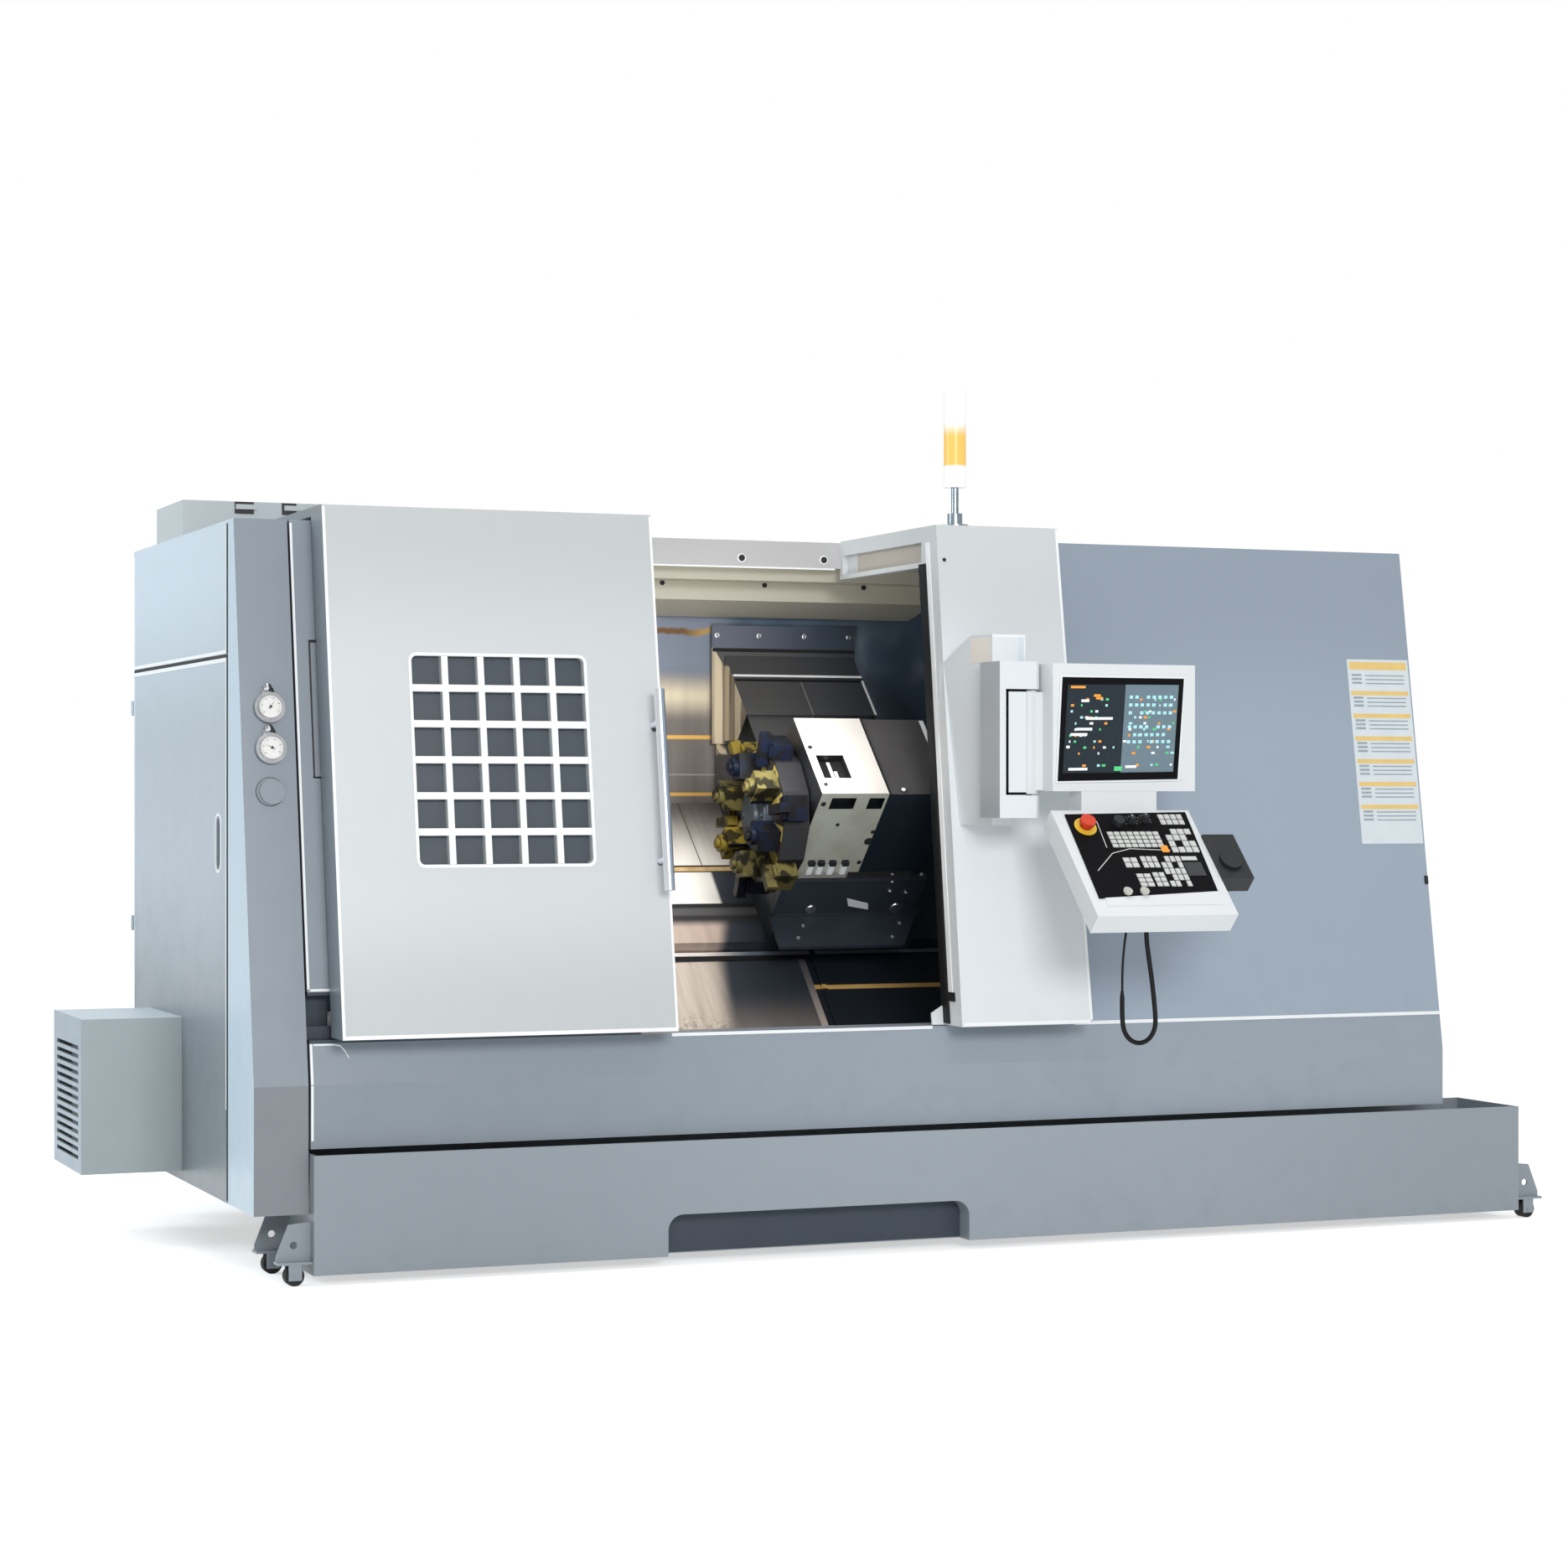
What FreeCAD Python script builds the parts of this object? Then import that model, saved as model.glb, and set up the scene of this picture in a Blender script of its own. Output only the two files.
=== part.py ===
import FreeCAD, Part
import Sketcher
import math
import os

# Slant-bed turning lathe in its sheet-metal enclosure, in millimetres.
# It is laid out from the front left corner of the coolant tank: X runs to the right along the
# machine, Y to the back, Z up from the floor.  centre_x and centre_y then move every piece so that
# the origin lies on the floor under the middle of the machine.
# The bed leans back 45 degrees.  Pieces that sit on it are drawn in slant axes through the spindle
# line: "up" the slope and "off" the slope, square to it.

doc = FreeCAD.newDocument("TurningLathe")
sheet = doc.addObject("Spreadsheet::Sheet", "Sizes")

SIZES = {
    # datum and the enclosure's leaning front
    "centre_x": 1550.5, "centre_y": 700.25, "front_y": 40, "lean": 0.16, "fold_z": 478,
    "machine_left": -138, "machine_right": 3195, "skirt_z": 325, "sill_z": 578, "side_z": 169,
    "roof_z": 1858, "sheet_wall": 20, "rear_y": 1511,
    # coolant tank that rolls out from under the front
    "tank_long": 3416, "tank_deep": 300, "tank_z": 25, "tank_top": 313, "tank_wall": 8,
    "toe_left": 903, "toe_right": 1732, "toe_top": 129, "toe_deep": 60,
    "caster_out": 42, "wheel_r": 24, "wheel_wide": 28, "axle_r": 4, "running": 0.05,
    # left pillar, headstock cover and the left side
    "pillar_right": -4, "pillar_back": 317, "cover_left": 2, "cover_right": 850, "channel_top": 701,
    "hatch_left": 42, "hatch_right": 340, "hatch_z": 1223, "hatch_top": 1556,
    "side_seam": 1527, "cooler_left": -400, "cooler_y": 866, "cooler_back": 1277,
    "cooler_z": 193, "cooler_top": 597, "slot_pitch": 22, "gauge_x": -67, "gauge_r": 38,
    # sliding door
    "door_left": 55, "door_right": 909, "door_z": 592, "door_top": 1889, "door_ahead": 117,
    "door_deep": 108, "door_skin": 22, "door_roof_back": 780,
    "pane_x": 302.4, "pane_z": 1044, "pane_step_x": 92.1, "pane_step_z": 88.2,
    "pane_wide": 75, "pane_high": 70, "handle_x": 885, "handle_r": 13, "handle_off": 58,
    "handle_z": 942, "handle_top": 1443,
    # portal with the control, ceiling, right-hand cover, rear cabinet
    "portal_left": 1705, "portal_foot": 1684, "portal_right": 2060, "header_y": 792,
    "header_top": 1885, "header_z": 1813, "back_wall_y": 1150, "ceiling_z": 1690,
    "cabinet_left": 0, "cabinet_right": 1380, "cabinet_y": 1515, "cabinet_back": 1880,
    "cabinet_z": 250, "cabinet_top": 2010, "lamp_x": 1830, "lamp_y": 300, "lamp_top": 2264,
    # slant bed and spindle line
    "spindle_y": 340, "spindle_z": 885, "swing_off": 448, "bed_left": 250, "bed_right": 3100,
    "rail_high": 48, "way_gap": 0.3, "spindle_r": 75, "chuck_r": 155, "chuck_left": 800,
    "chuck_right": 930, "jaw_right": 985, "guard_x": 785,
    # carriage, cross slide and turret
    "saddle_left": 1460, "saddle_right": 1890, "saddle_low": 195, "slide_off": 249,
    "turret_up": 297, "turret_off": 40, "disc_left": 1352, "disc_right": 1425, "disc_r": 178,
    "tool_r": 245,
    "housing_left": 1430, "housing_right": 1624, "housing_low": 157, "housing_high": 444,
    "housing_top": 263, "housing_foot": 37, "hood_right": 1812, "slide_top": 110, "slide_low": 203,
    "cover_long": 424, "cover_long_right": 540,
    "chamber_right": 3175, "screw_r": 20, "screw_up": 435, "screw_off": 425,
    # tailstock
    "low_cover_right": 1640, "tail_cover_left": 1590,
    "tail_left": 2640, "tail_right": 2960, "quill_r": 50, "quill_left": 2540, "point_left": 2460,
    # control pendant
    "arm_left": 1711, "arm_front": -225, "arm_back": -110, "arm_z": 1120, "arm_top": 1517,
    "pivot_x": 1812, "pivot_y": -180, "pin_r": 10, "screen_left": 1843, "screen_right": 2251,
    "screen_front": -260, "screen_back": -150, "screen_z": 1188, "screen_top": 1512,
    "desk_left": 1838, "desk_right": 2232, "desk_y": -258, "desk_z": 1139, "desk_run": 367,
    "desk_thick": 60, "cable_r": 6, "lead_r": 3,
}


class Size:
    """A size from the sheet, or one worked out from such sizes, with the formula that binds it."""

    def __init__(self, value, formula):
        self.value = value
        self.formula = formula

    def __add__(self, other):
        return Size(self.value + amount(other), f"({self.formula} + {written(other)})")

    def __radd__(self, other):
        return Size(amount(other) + self.value, f"({written(other)} + {self.formula})")

    def __sub__(self, other):
        return Size(self.value - amount(other), f"({self.formula} - {written(other)})")

    def __rsub__(self, other):
        return Size(amount(other) - self.value, f"({written(other)} - {self.formula})")

    def __mul__(self, other):
        return Size(self.value * amount(other), f"({self.formula} * {written(other)})")

    def __rmul__(self, other):
        return Size(amount(other) * self.value, f"({written(other)} * {self.formula})")

    def __truediv__(self, other):
        return Size(self.value / amount(other), f"({self.formula} / {written(other)})")

    def __neg__(self):
        return Size(-self.value, f"(-{self.formula})")


def amount(size):
    return size.value if isinstance(size, Size) else float(size)


def written(size):
    return size.formula if isinstance(size, Size) else repr(size)


def fill_sheet():
    """One row a size: its name in column A, its number in column B under the same alias."""
    for row, (name, number) in enumerate(SIZES.items(), start=1):
        sheet.set(f"A{row}", name)
        sheet.set(f"B{row}", str(number))
        sheet.setAlias(f"B{row}", name)
    doc.recompute()


def S(name):
    """The named size from the sheet."""
    return Size(float(SIZES[name]), f"Sizes.{name}")


def bind(thing, prop, size):
    thing.setExpression(prop, written(size))


fill_sheet()
NODES = {}
HALF_TURN_SLOPE = math.sqrt(0.5)    # sine and cosine of the bed's 45 degrees


# ---- shared ways of making a piece ---------------------------------------------------------------

def box(x, y, z):
    """A block between a low and a high face on each axis."""
    block = doc.addObject("Part::Box", "Block")
    for side, axis, (low, high) in (("Length", "x", x), ("Width", "y", y), ("Height", "z", z)):
        bind(block, side, high - low)
        bind(block, f"Placement.Base.{axis}", low)
    return block


AXIS_TURN = {"x": (FreeCAD.Vector(0, 1, 0), 90), "y": (FreeCAD.Vector(1, 0, 0), -90),
             "z": (FreeCAD.Vector(0, 0, 1), 0)}


def rod(axis, radius, low, high, across, top_radius=None):
    """A cylinder, or a cone when top_radius is given, along an axis from low to high.
    across gives its centre on the other two axes, in X, Y, Z order."""
    kind = "Part::Cylinder" if top_radius is None else "Part::Cone"
    bar = doc.addObject(kind, "Rod")
    bind(bar, "Height", high - low)
    if top_radius is None:
        bind(bar, "Radius", radius)
    else:
        bind(bar, "Radius1", radius)
        bind(bar, "Radius2", top_radius)
    bar.Placement = FreeCAD.Placement(FreeCAD.Vector(0, 0, 0), FreeCAD.Rotation(*AXIS_TURN[axis]))
    places = [name for name in "xyz" if name != axis]
    bind(bar, f"Placement.Base.{axis}", low)
    for name, place in zip(places, across):
        bind(bar, f"Placement.Base.{name}", place)
    return bar


def origin_plane(body, role):
    return next(plane for plane in body.Origin.OriginFeatures if plane.Role == role)


def profile(name, plane, corners, low, high):
    """A closed outline of straight edges on one origin plane, padded from low to high.
    YZ corners are (y, z), XZ corners (x, z) and XY corners (x, y)."""
    body = doc.addObject("PartDesign::Body", name)
    sketch = body.newObject("Sketcher::SketchObject", name + "_outline")
    sketch.AttachmentSupport = [(origin_plane(body, plane + "_Plane"), "")]
    sketch.MapMode = "FlatFace"
    bind(sketch, "AttachmentOffset.Base.z", -1 * high if plane == "XZ" else low)
    count = len(corners)
    for place in range(count):
        start, end = corners[place], corners[(place + 1) % count]
        sketch.addGeometry(Part.LineSegment(FreeCAD.Vector(amount(start[0]), amount(start[1]), 0),
                                            FreeCAD.Vector(amount(end[0]), amount(end[1]), 0)))
    for place in range(count):
        sketch.addConstraint(Sketcher.Constraint("Coincident", place, 2, (place + 1) % count, 1))
    for place, corner in enumerate(corners):
        for kind, size in zip(("DistanceX", "DistanceY"), corner):
            rule = sketch.addConstraint(Sketcher.Constraint(kind, -1, 1, place, 1, amount(size)))
            if isinstance(size, Size):
                bind(sketch, f"Constraints[{rule}]", size)
    pad = body.newObject("PartDesign::Pad", name + "_pad")
    pad.Profile = sketch
    bind(pad, "Length", high - low)
    return body


def group(parts):
    """Separate solids kept side by side."""
    bundle = doc.addObject("Part::Compound", "Group")
    bundle.Links = parts
    return bundle


def fuse(*parts):
    joined = doc.addObject("Part::MultiFuse", "Fuse")
    joined.Shapes = list(parts)
    joined.Refine = True
    return joined


def cut(base, *tools):
    """The base with every tool taken out of it."""
    left = doc.addObject("Part::Cut", "Cut")
    left.Base = base
    left.Tool = tools[0] if len(tools) == 1 else fuse(*tools)
    return left


def lean_back(part):
    """Set a piece drawn in slant axes onto the 45 degree bed, through the spindle line."""
    wrapped = group([part])
    wrapped.Placement = FreeCAD.Placement(FreeCAD.Vector(0, 0, 0), FreeCAD.Rotation(FreeCAD.Vector(1, 0, 0), 45))
    bind(wrapped, "Placement.Base.y", S("spindle_y"))
    bind(wrapped, "Placement.Base.z", S("spindle_z"))
    return wrapped


def seat(label, part):
    """Name a finished piece and move it so that the origin is under the machine's middle."""
    whole = group([part])
    whole.Label = label
    bind(whole, "Placement.Base.x", -S("centre_x"))
    bind(whole, "Placement.Base.y", -S("centre_y"))
    NODES[label] = whole


def round_edges(part, radius, wanted):
    """Round the edges for which wanted(edge) holds."""
    doc.recompute()
    rounded = doc.addObject("Part::Fillet", "Rounded")
    rounded.Base = part
    rounded.Edges = [(number, radius, radius) for number, edge in enumerate(part.Shape.Edges, start=1)
                     if wanted(edge)]
    return rounded


def lean_y(z):
    """The leaning front panels' face at a height."""
    return S("front_y") + S("lean") * (z - S("fold_z"))


def door_y(z):
    """The sliding door's front face at a height."""
    return lean_y(z) - S("door_ahead")


# ---- base, feet and tank -------------------------------------------------------------------------

def bed_point(up, off):
    """Slant axes to (y, z)."""
    return (S("spindle_y") + HALF_TURN_SLOPE * (up - off), S("spindle_z") + HALF_TURN_SLOPE * (up + off))


def base_casting():
    """Cast bed: a wedge whose 45 degree top carries the ways, cored out from below between ribs."""
    bed_low = bed_point(-250, -S("swing_off"))
    bed_high = bed_point(670, -S("swing_off"))
    back = 1440
    foot = 60
    wedge = profile("bed_wedge", "YZ",
                    [(330, foot), (back, foot), (back, bed_high[1]), bed_high, bed_low, (330, bed_low[1])],
                    S("bed_left"), S("bed_right"))
    rib = 60
    bays = 3
    bay_pitch = (S("bed_right") - S("bed_left") - rib) / bays
    cores = []
    for bay in range(bays):
        left = S("bed_left") + rib + bay * bay_pitch
        cores.append(profile("core", "YZ", [(390, foot - 10), (1380, foot - 10), (1380, 900), (1080, 900), (520, 340),
                                            (390, 340)], left, left + bay_pitch - rib))
    seat("base_casting", cut(wedge, *cores))


def levelling_feet():
    """Six levelling feet: a round pad with a threaded stem up to the casting."""
    feet = []
    for x in (400, 1675, 2950):
        for y in (360, 1410):
            feet.append(fuse(rod("z", 48, 0, 20, (x, y)), rod("z", 15, 15, 60, (x, y))))
    seat("levelling_feet", group(feet))


def coolant_tank():
    """Folded steel tank with a toe recess in its front and small casters under both ends."""
    wall = S("tank_wall")
    long, deep, low, top = S("tank_long"), S("tank_deep"), S("tank_z"), S("tank_top")
    outer = box((0, long), (0, deep), (low, top))
    inner = box((wall, long - wall), (wall, deep - wall), (low + wall, top + 10))
    recess_case = box((S("toe_left") - wall, S("toe_right") + wall), (0, S("toe_deep") + wall),
                      (low, S("toe_top") + wall))
    recess = box((S("toe_left"), S("toe_right")), (-10, S("toe_deep")), (low - 10, S("toe_top")))
    soft_corner = round_edges(recess, 40, lambda edge: upper_front_to_back(edge, amount(S("toe_top"))))
    tub = cut(cut(outer, cut(inner, recess_case)), soft_corner)
    brackets = []
    for side, end in ((-1, 0), (1, long)):
        for front in (12, 240):
            brackets.append(caster_bracket(side, end, front))
    seat("coolant_tank", fuse(tub, *brackets))


def upper_front_to_back(edge, height):
    """True for a straight edge that runs front to back at a height."""
    ends = [vertex.Point for vertex in edge.Vertexes]
    return abs(ends[0].x - ends[1].x) < 1 and all(abs(end.z - height) < 1 for end in ends)


def caster_bracket(side, end, front):
    """Bent plate with a gusset and two cheeks that hold one wheel off the tank's end."""
    wheel_x = end + side * S("caster_out")
    reach = end + side * 85
    plate_z = 52
    ends = (reach, end) if side < 0 else (end, reach)
    plate = box(ends, (front, front + 48), (plate_z, plate_z + 6))
    gusset = profile("gusset", "XZ", [(end, plate_z), (reach, plate_z), (reach, plate_z + 20),
                                      (end + side * 55, plate_z + 95), (end, plate_z + 100)],
                     front + 21, front + 27)
    hole = rod("y", 9, front, front + 48, (wheel_x, plate_z + 45))
    cheeks = [box((wheel_x - 16, wheel_x + 16), (y, y + 4), (14, plate_z)) for y in (front + 2, front + 42)]
    axle = rod("y", S("axle_r"), front, front + 48, (wheel_x, S("wheel_r")))
    return fuse(cut(gusset, hole), plate, *cheeks, axle)


def caster_wheels():
    """Two wheels on each end of the tank, turning on the cheeks' pins."""
    for label, wheel_x in (("left_wheels", -S("caster_out")), ("right_wheels", S("tank_long") + S("caster_out"))):
        wheels = []
        for front in (12, 240):
            y = (front + 10, front + 10 + S("wheel_wide"))
            tyre = rod("y", S("wheel_r"), y[0], y[1], (wheel_x, S("wheel_r")))
            bore = rod("y", S("axle_r") + S("running"), y[0] - 5, y[1] + 5, (wheel_x, S("wheel_r")))
            wheels.append(cut(tyre, bore))
        seat(label, group(wheels))


# ---- enclosure -----------------------------------------------------------------------------------

def front_apron():
    """Folded skirt: upright, then leaning back with the panels, with a sill shelf turned inwards."""
    wall = S("sheet_wall")
    front, sill, skirt = S("front_y"), S("sill_z"), S("skirt_z")
    outline = [(front, skirt), (front, S("fold_z")), (lean_y(sill), sill), (lean_y(sill) + 120, sill),
               (lean_y(sill) + 120, sill - wall), (lean_y(sill) + wall, sill - wall),
               (front + wall, S("fold_z")), (front + wall, skirt)]
    seat("front_apron", profile("apron", "YZ", outline, S("cover_left"), S("machine_right")))


def left_pillar():
    """Tall folded cover on the front left corner, leaning back above its fold."""
    wall = S("sheet_wall")
    low, top, fold, back = S("side_z"), S("roof_z"), S("fold_z"), S("pillar_back")
    front = S("front_y")
    skin = profile("pillar_skin", "YZ", [(front, low), (front, fold), (lean_y(top), top), (back, top), (back, low)],
                   S("machine_left"), S("pillar_right"))
    hollow = profile("pillar_hollow", "YZ",
                     [(front + wall, low - 10), (front + wall, fold), (lean_y(top) + wall, top - wall),
                      (back + 10, top - wall), (back + 10, low - 10)],
                     S("machine_left") + wall, S("pillar_right") + 10)
    plug = on_lean(31, 9, S("gauge_x"), 1185)
    pockets = [on_lean(S("gauge_r") + 0.2, 5, S("gauge_x"), z) for z in GAUGE_HEIGHTS]
    seat("left_pillar", cut(fuse(cut(skin, hollow), plug), *pockets))


GAUGE_HEIGHTS = (1290, 1390)


def on_lean(radius, proud, x, z, sunk=4, ahead=0):
    """A short round boss that stands square on the leaning front face, or on a face ahead of it."""
    boss = doc.addObject("Part::Cylinder", "Boss")
    bind(boss, "Radius", radius)
    bind(boss, "Height", proud + sunk)
    angle = math.degrees(math.atan(SIZES["lean"]))
    boss.Placement = FreeCAD.Placement(FreeCAD.Vector(0, 0, 0),
                                       FreeCAD.Rotation(FreeCAD.Vector(1, 0, 0), 90 - angle))
    bind(boss, "Placement.Base.x", x)
    slant = math.radians(angle)
    bind(boss, "Placement.Base.y", lean_y(z) - ahead + math.cos(slant) * sunk)
    bind(boss, "Placement.Base.z", z - math.sin(slant) * sunk)
    return boss


def pressure_gauges():
    """Two round gauges set in the pillar, the upper one with a zero knob on its rim."""
    radius = S("gauge_r")
    gauges = []
    for z in GAUGE_HEIGHTS:
        dial = fuse(on_lean(radius, 16, S("gauge_x"), z), on_lean(radius - 8, 22, S("gauge_x"), z))
        gauges.append(dial)
    seat("pressure_gauges", group(gauges))


def headstock_cover():
    """Leaning sheet over the headstock that folds back into the roof, with a hatch opening."""
    wall = S("sheet_wall")
    low, top = S("channel_top"), S("roof_z")
    outline = [(lean_y(low), low), (lean_y(top), top), (S("rear_y") - 11, top), (S("rear_y") - 11, top - wall),
               (lean_y(top) + wall, top - wall), (lean_y(low) + wall, low)]
    sheet_metal = profile("headstock_sheet", "YZ", outline, S("cover_left"), S("cover_right"))
    gap = 4
    opening = box((S("hatch_left") - gap, S("hatch_right")), (100, 300),
                  (S("hatch_z") - gap, S("hatch_top") + gap))
    seat("headstock_cover", cut(sheet_metal, opening))
    hatch = profile("hatch_plate", "YZ",
                    [(lean_y(S("hatch_z")), S("hatch_z")), (lean_y(S("hatch_top")), S("hatch_top")),
                     (lean_y(S("hatch_top")) + wall, S("hatch_top")), (lean_y(S("hatch_z")) + wall, S("hatch_z"))],
                    S("hatch_left"), S("hatch_right"))
    latch_well = box((S("hatch_left") + 30, S("hatch_left") + 62), (100, 175), (1342, 1436))
    seat("access_hatch", cut(hatch, latch_well))


SIDE_HINGES = (260, 800, 1400)
CABINET_HINGES = (350, 1100, 1850)


def fixed_knuckles(x, y, radius, heights):
    """A hinge's lower knuckles, on the frame, each with the pin that the door's knuckle turns on."""
    knuckles = []
    for z in heights:
        knuckles.append(rod("z", radius, z, z + 20, (x, y)))
        knuckles.append(rod("z", 3, z + 10, z + 38, (x, y)))
    return knuckles


def hung(door, x, y, radius, heights):
    """A door with its upper knuckles, bored for the pins, and clear of the frame's knuckles."""
    clearances = [rod("z", radius + 2, z - 1, z + 21, (x, y)) for z in heights]
    knuckles = [rod("z", radius, z + 21, z + 41, (x, y)) for z in heights]
    bores = [rod("z", 3 + S("running"), z + 20, z + 39, (x, y)) for z in heights]
    return cut(fuse(cut(door, *clearances), *knuckles), *bores)


def left_side():
    """Upper side sheet with the roof strip and the rear corner post, and the door below it."""
    wall = S("sheet_wall")
    left, top, back = S("machine_left"), S("roof_z"), S("rear_y")
    front = S("pillar_back") + 3
    upper = box((left, left + wall), (front, back), (S("side_seam"), top))
    strip = box((left, S("cover_left")), (S("pillar_back"), back - 11), (top - wall, top))
    post = box((left + wall + 3, -4), (back - 40, back), (S("side_z"), top))
    hinge_leaves = []
    for z in SIDE_HINGES:
        hinge_leaves.append(box((left, -116), (back + 1, back + 5), (z, z + 20)))
        hinge_leaves.append(box((-117, -100), (back - 6, back + 5), (z, z + 20)))
    seat("side_frame", fuse(upper, strip, post, *hinge_leaves, *fixed_knuckles(left, back, 8, SIDE_HINGES)))
    sheet_door = box((left, left + wall), (front, back), (S("side_z"), S("side_seam") - 4))
    door = hung(sheet_door, left, back, 8, SIDE_HINGES)
    pull = rod("x", 26, left - 10, left + wall + 10, (420, 1100))
    pull_low = rod("x", 26, left - 10, left + wall + 10, (420, 1016))
    slot = box((left - 10, left + wall + 10), (394, 446), (1016, 1100))
    seat("side_door", cut(door, pull, pull_low, slot))


def cooler_box():
    """Oil cooler on the side door: a folded box with a louvred outer face."""
    wall = 6
    left, right = S("cooler_left"), S("machine_left")
    y = (S("cooler_y"), S("cooler_back"))
    z = (S("cooler_z"), S("cooler_top"))
    shell = box((left, right), y, z)
    inside = box((left + wall, right - wall), (y[0] + wall, y[1] - wall), (z[0] + wall, z[1] - wall))
    slots = [box((left - 5, left + wall + 5), (y[0] + 45, y[1] - 45),
                 (z[0] + 35 + S("slot_pitch") * row, z[0] + 46 + S("slot_pitch") * row)) for row in range(14)]
    core = box((left + 40, right - 40), (y[0] + 40, y[1] - 40), (z[0] + wall, z[1] - 40))
    seat("cooler_box", fuse(cut(shell, inside, *slots), core))


def portal():
    """White frame that the door closes against: a leaning box column with a roof arm to the back."""
    wall = 25
    low, top = S("sill_z") + 4, S("door_top")
    left, right = S("portal_foot"), S("portal_right")
    back = S("header_y")
    depth = S("door_ahead")

    def bent(thick, roof_thick, start):
        return [(door_y(low) + start, low), (door_y(top) + start, top), (back, top), (back, top - roof_thick),
                (door_y(top - roof_thick) + thick, top - roof_thick), (door_y(low) + thick, low)]

    skin = profile("portal_skin", "YZ", bent(wall, wall, 0), left, right)
    near_side = profile("portal_near_side", "YZ", bent(depth, 107, 0), left, left + 90)
    far_side = profile("portal_far_side", "YZ", bent(depth, 40, 0), right - wall, right)
    slant = profile("portal_slant", "XZ", [(left - 10, low - 10), (left, low), (S("portal_left"), top),
                                           (S("portal_left"), top + 10), (left - 10, top + 10)], -300, 1000)
    hollow = profile("portal_hollow", "YZ",
                     [(door_y(low) + wall, low - 10), (door_y(top - wall) + wall, top - wall),
                      (back + 10, top - wall), (back + 10, top - 120), (door_y(top - 120) + depth + 10, top - 120),
                      (door_y(low) + depth + 10, low - 10)],
                     S("portal_left") + wall, right - wall)
    groove = box((S("portal_left") - 10, S("portal_left") + 14), (240, 772), (top - 94, top - 41))
    frame = cut(fuse(skin, near_side, far_side), slant, hollow, groove)
    seat("portal", fuse(frame, arm_mount(), corner_gusset()))


def arm_mount():
    """Folded box on the portal's face that carries the screen's arm; its top falls back to the face."""
    block = profile("mount_block", "XY", [(1695, 110), (1744, S("arm_back")), (1800, S("arm_back")), (1800, 110)],
                    1100, 1590)
    fall = profile("mount_fall", "YZ", [(-20, 1589), (72, 1535), (120, 1507), (120, 1600), (-20, 1600)], 1690, 1810)
    return cut(block, fall)


def corner_gusset():
    """Small white plate in the corner between the portal's foot and the sill, behind the door's path."""
    low, high = S("sill_z") + 4, 646
    plate = profile("gusset_plate", "YZ", [(lean_y(low) - 7, low), (lean_y(high) - 7, high), (lean_y(high), high),
                                           (lean_y(low), low)], 1650, 1700)
    slant = profile("gusset_slant", "XZ", [(1640, 610), (1650, 612), (1712, 647), (1712, 660), (1640, 660)], 0, 120)
    return cut(plate, slant)


def canopy_header():
    """Stepped ceiling beam behind the opening: folded sheet bands down to the back wall."""
    front, back = S("header_y"), S("back_wall_y")
    outline = [(front, S("header_top")), (front, S("header_z")), (850, S("header_z")), (850, 1778), (950, 1778),
               (950, 1727), (back - 30, S("ceiling_z")), (back, S("ceiling_z")), (back, 1710), (970, 1750),
               (970, 1798), (870, 1798), (870, 1833), (front + 20, 1833), (front + 20, S("header_top"))]
    seat("canopy_header", profile("canopy", "YZ", outline, S("cover_right"), S("portal_right") + 2))


def right_cover():
    """Plain leaning cover right of the portal with roof, right side and rear wall in one housing."""
    wall = S("sheet_wall")
    low, top, left, right = S("sill_z"), S("roof_z") + 2, S("portal_right") + 2, S("machine_right")
    back = S("rear_y") - 11
    front_and_roof = profile("right_sheet", "YZ",
                             [(lean_y(low), low), (lean_y(top), top), (back, top), (back, top - wall),
                              (lean_y(top) + wall, top - wall), (lean_y(low) + wall, low)], left, right)
    end = profile("right_end", "YZ",
                  [(lean_y(low) + 121, low), (lean_y(low) + 121, S("skirt_z")), (back, S("skirt_z")), (back, top),
                   (lean_y(top), top), (lean_y(low), low)], right - wall, right)
    rear = box((S("cabinet_right") + 5, right), (back - wall, back), (S("skirt_z"), top))
    roof_rear = box((S("cover_right"), left + 1), (S("back_wall_y"), back), (top - wall, top))
    flange_top = top - wall - 40
    flange = profile("portal_flange", "YZ",
                     [(lean_y(low), low), (lean_y(flange_top), flange_top), (lean_y(flange_top) + wall, flange_top),
                      (lean_y(low) + wall, low)], left - 62, left + 1)
    seat("right_cover", fuse(front_and_roof, end, rear, roof_rear, flange))


def chamber_lining():
    """Machining room's back wall, and the left wall that the chuck comes through."""
    thick = 8
    back = S("back_wall_y")
    bed_low = bed_point(-250, -S("swing_off"))
    bed_high = bed_point(670, -S("swing_off"))
    wall = box((S("guard_x"), S("chamber_right")), (back, back + thick),
               (bed_high[1], S("ceiling_z") + 20))
    guard = profile("guard", "YZ", [(140, S("sill_z")), (177, S("sill_z")), (217, 420), (440, bed_low[1]), bed_low,
                                    bed_high, (back, bed_high[1]), (back, S("ceiling_z")), (940, 1715),
                                    (760, 1800), (330, 1800), (185, 980)],
                    S("guard_x"), S("guard_x") + thick)
    hole = rod("x", S("chuck_r") + 15, S("guard_x") - 10, S("guard_x") + 20, (S("spindle_y"), S("spindle_z")))
    seat("chamber_lining", fuse(wall, cut(guard, hole)))


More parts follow.
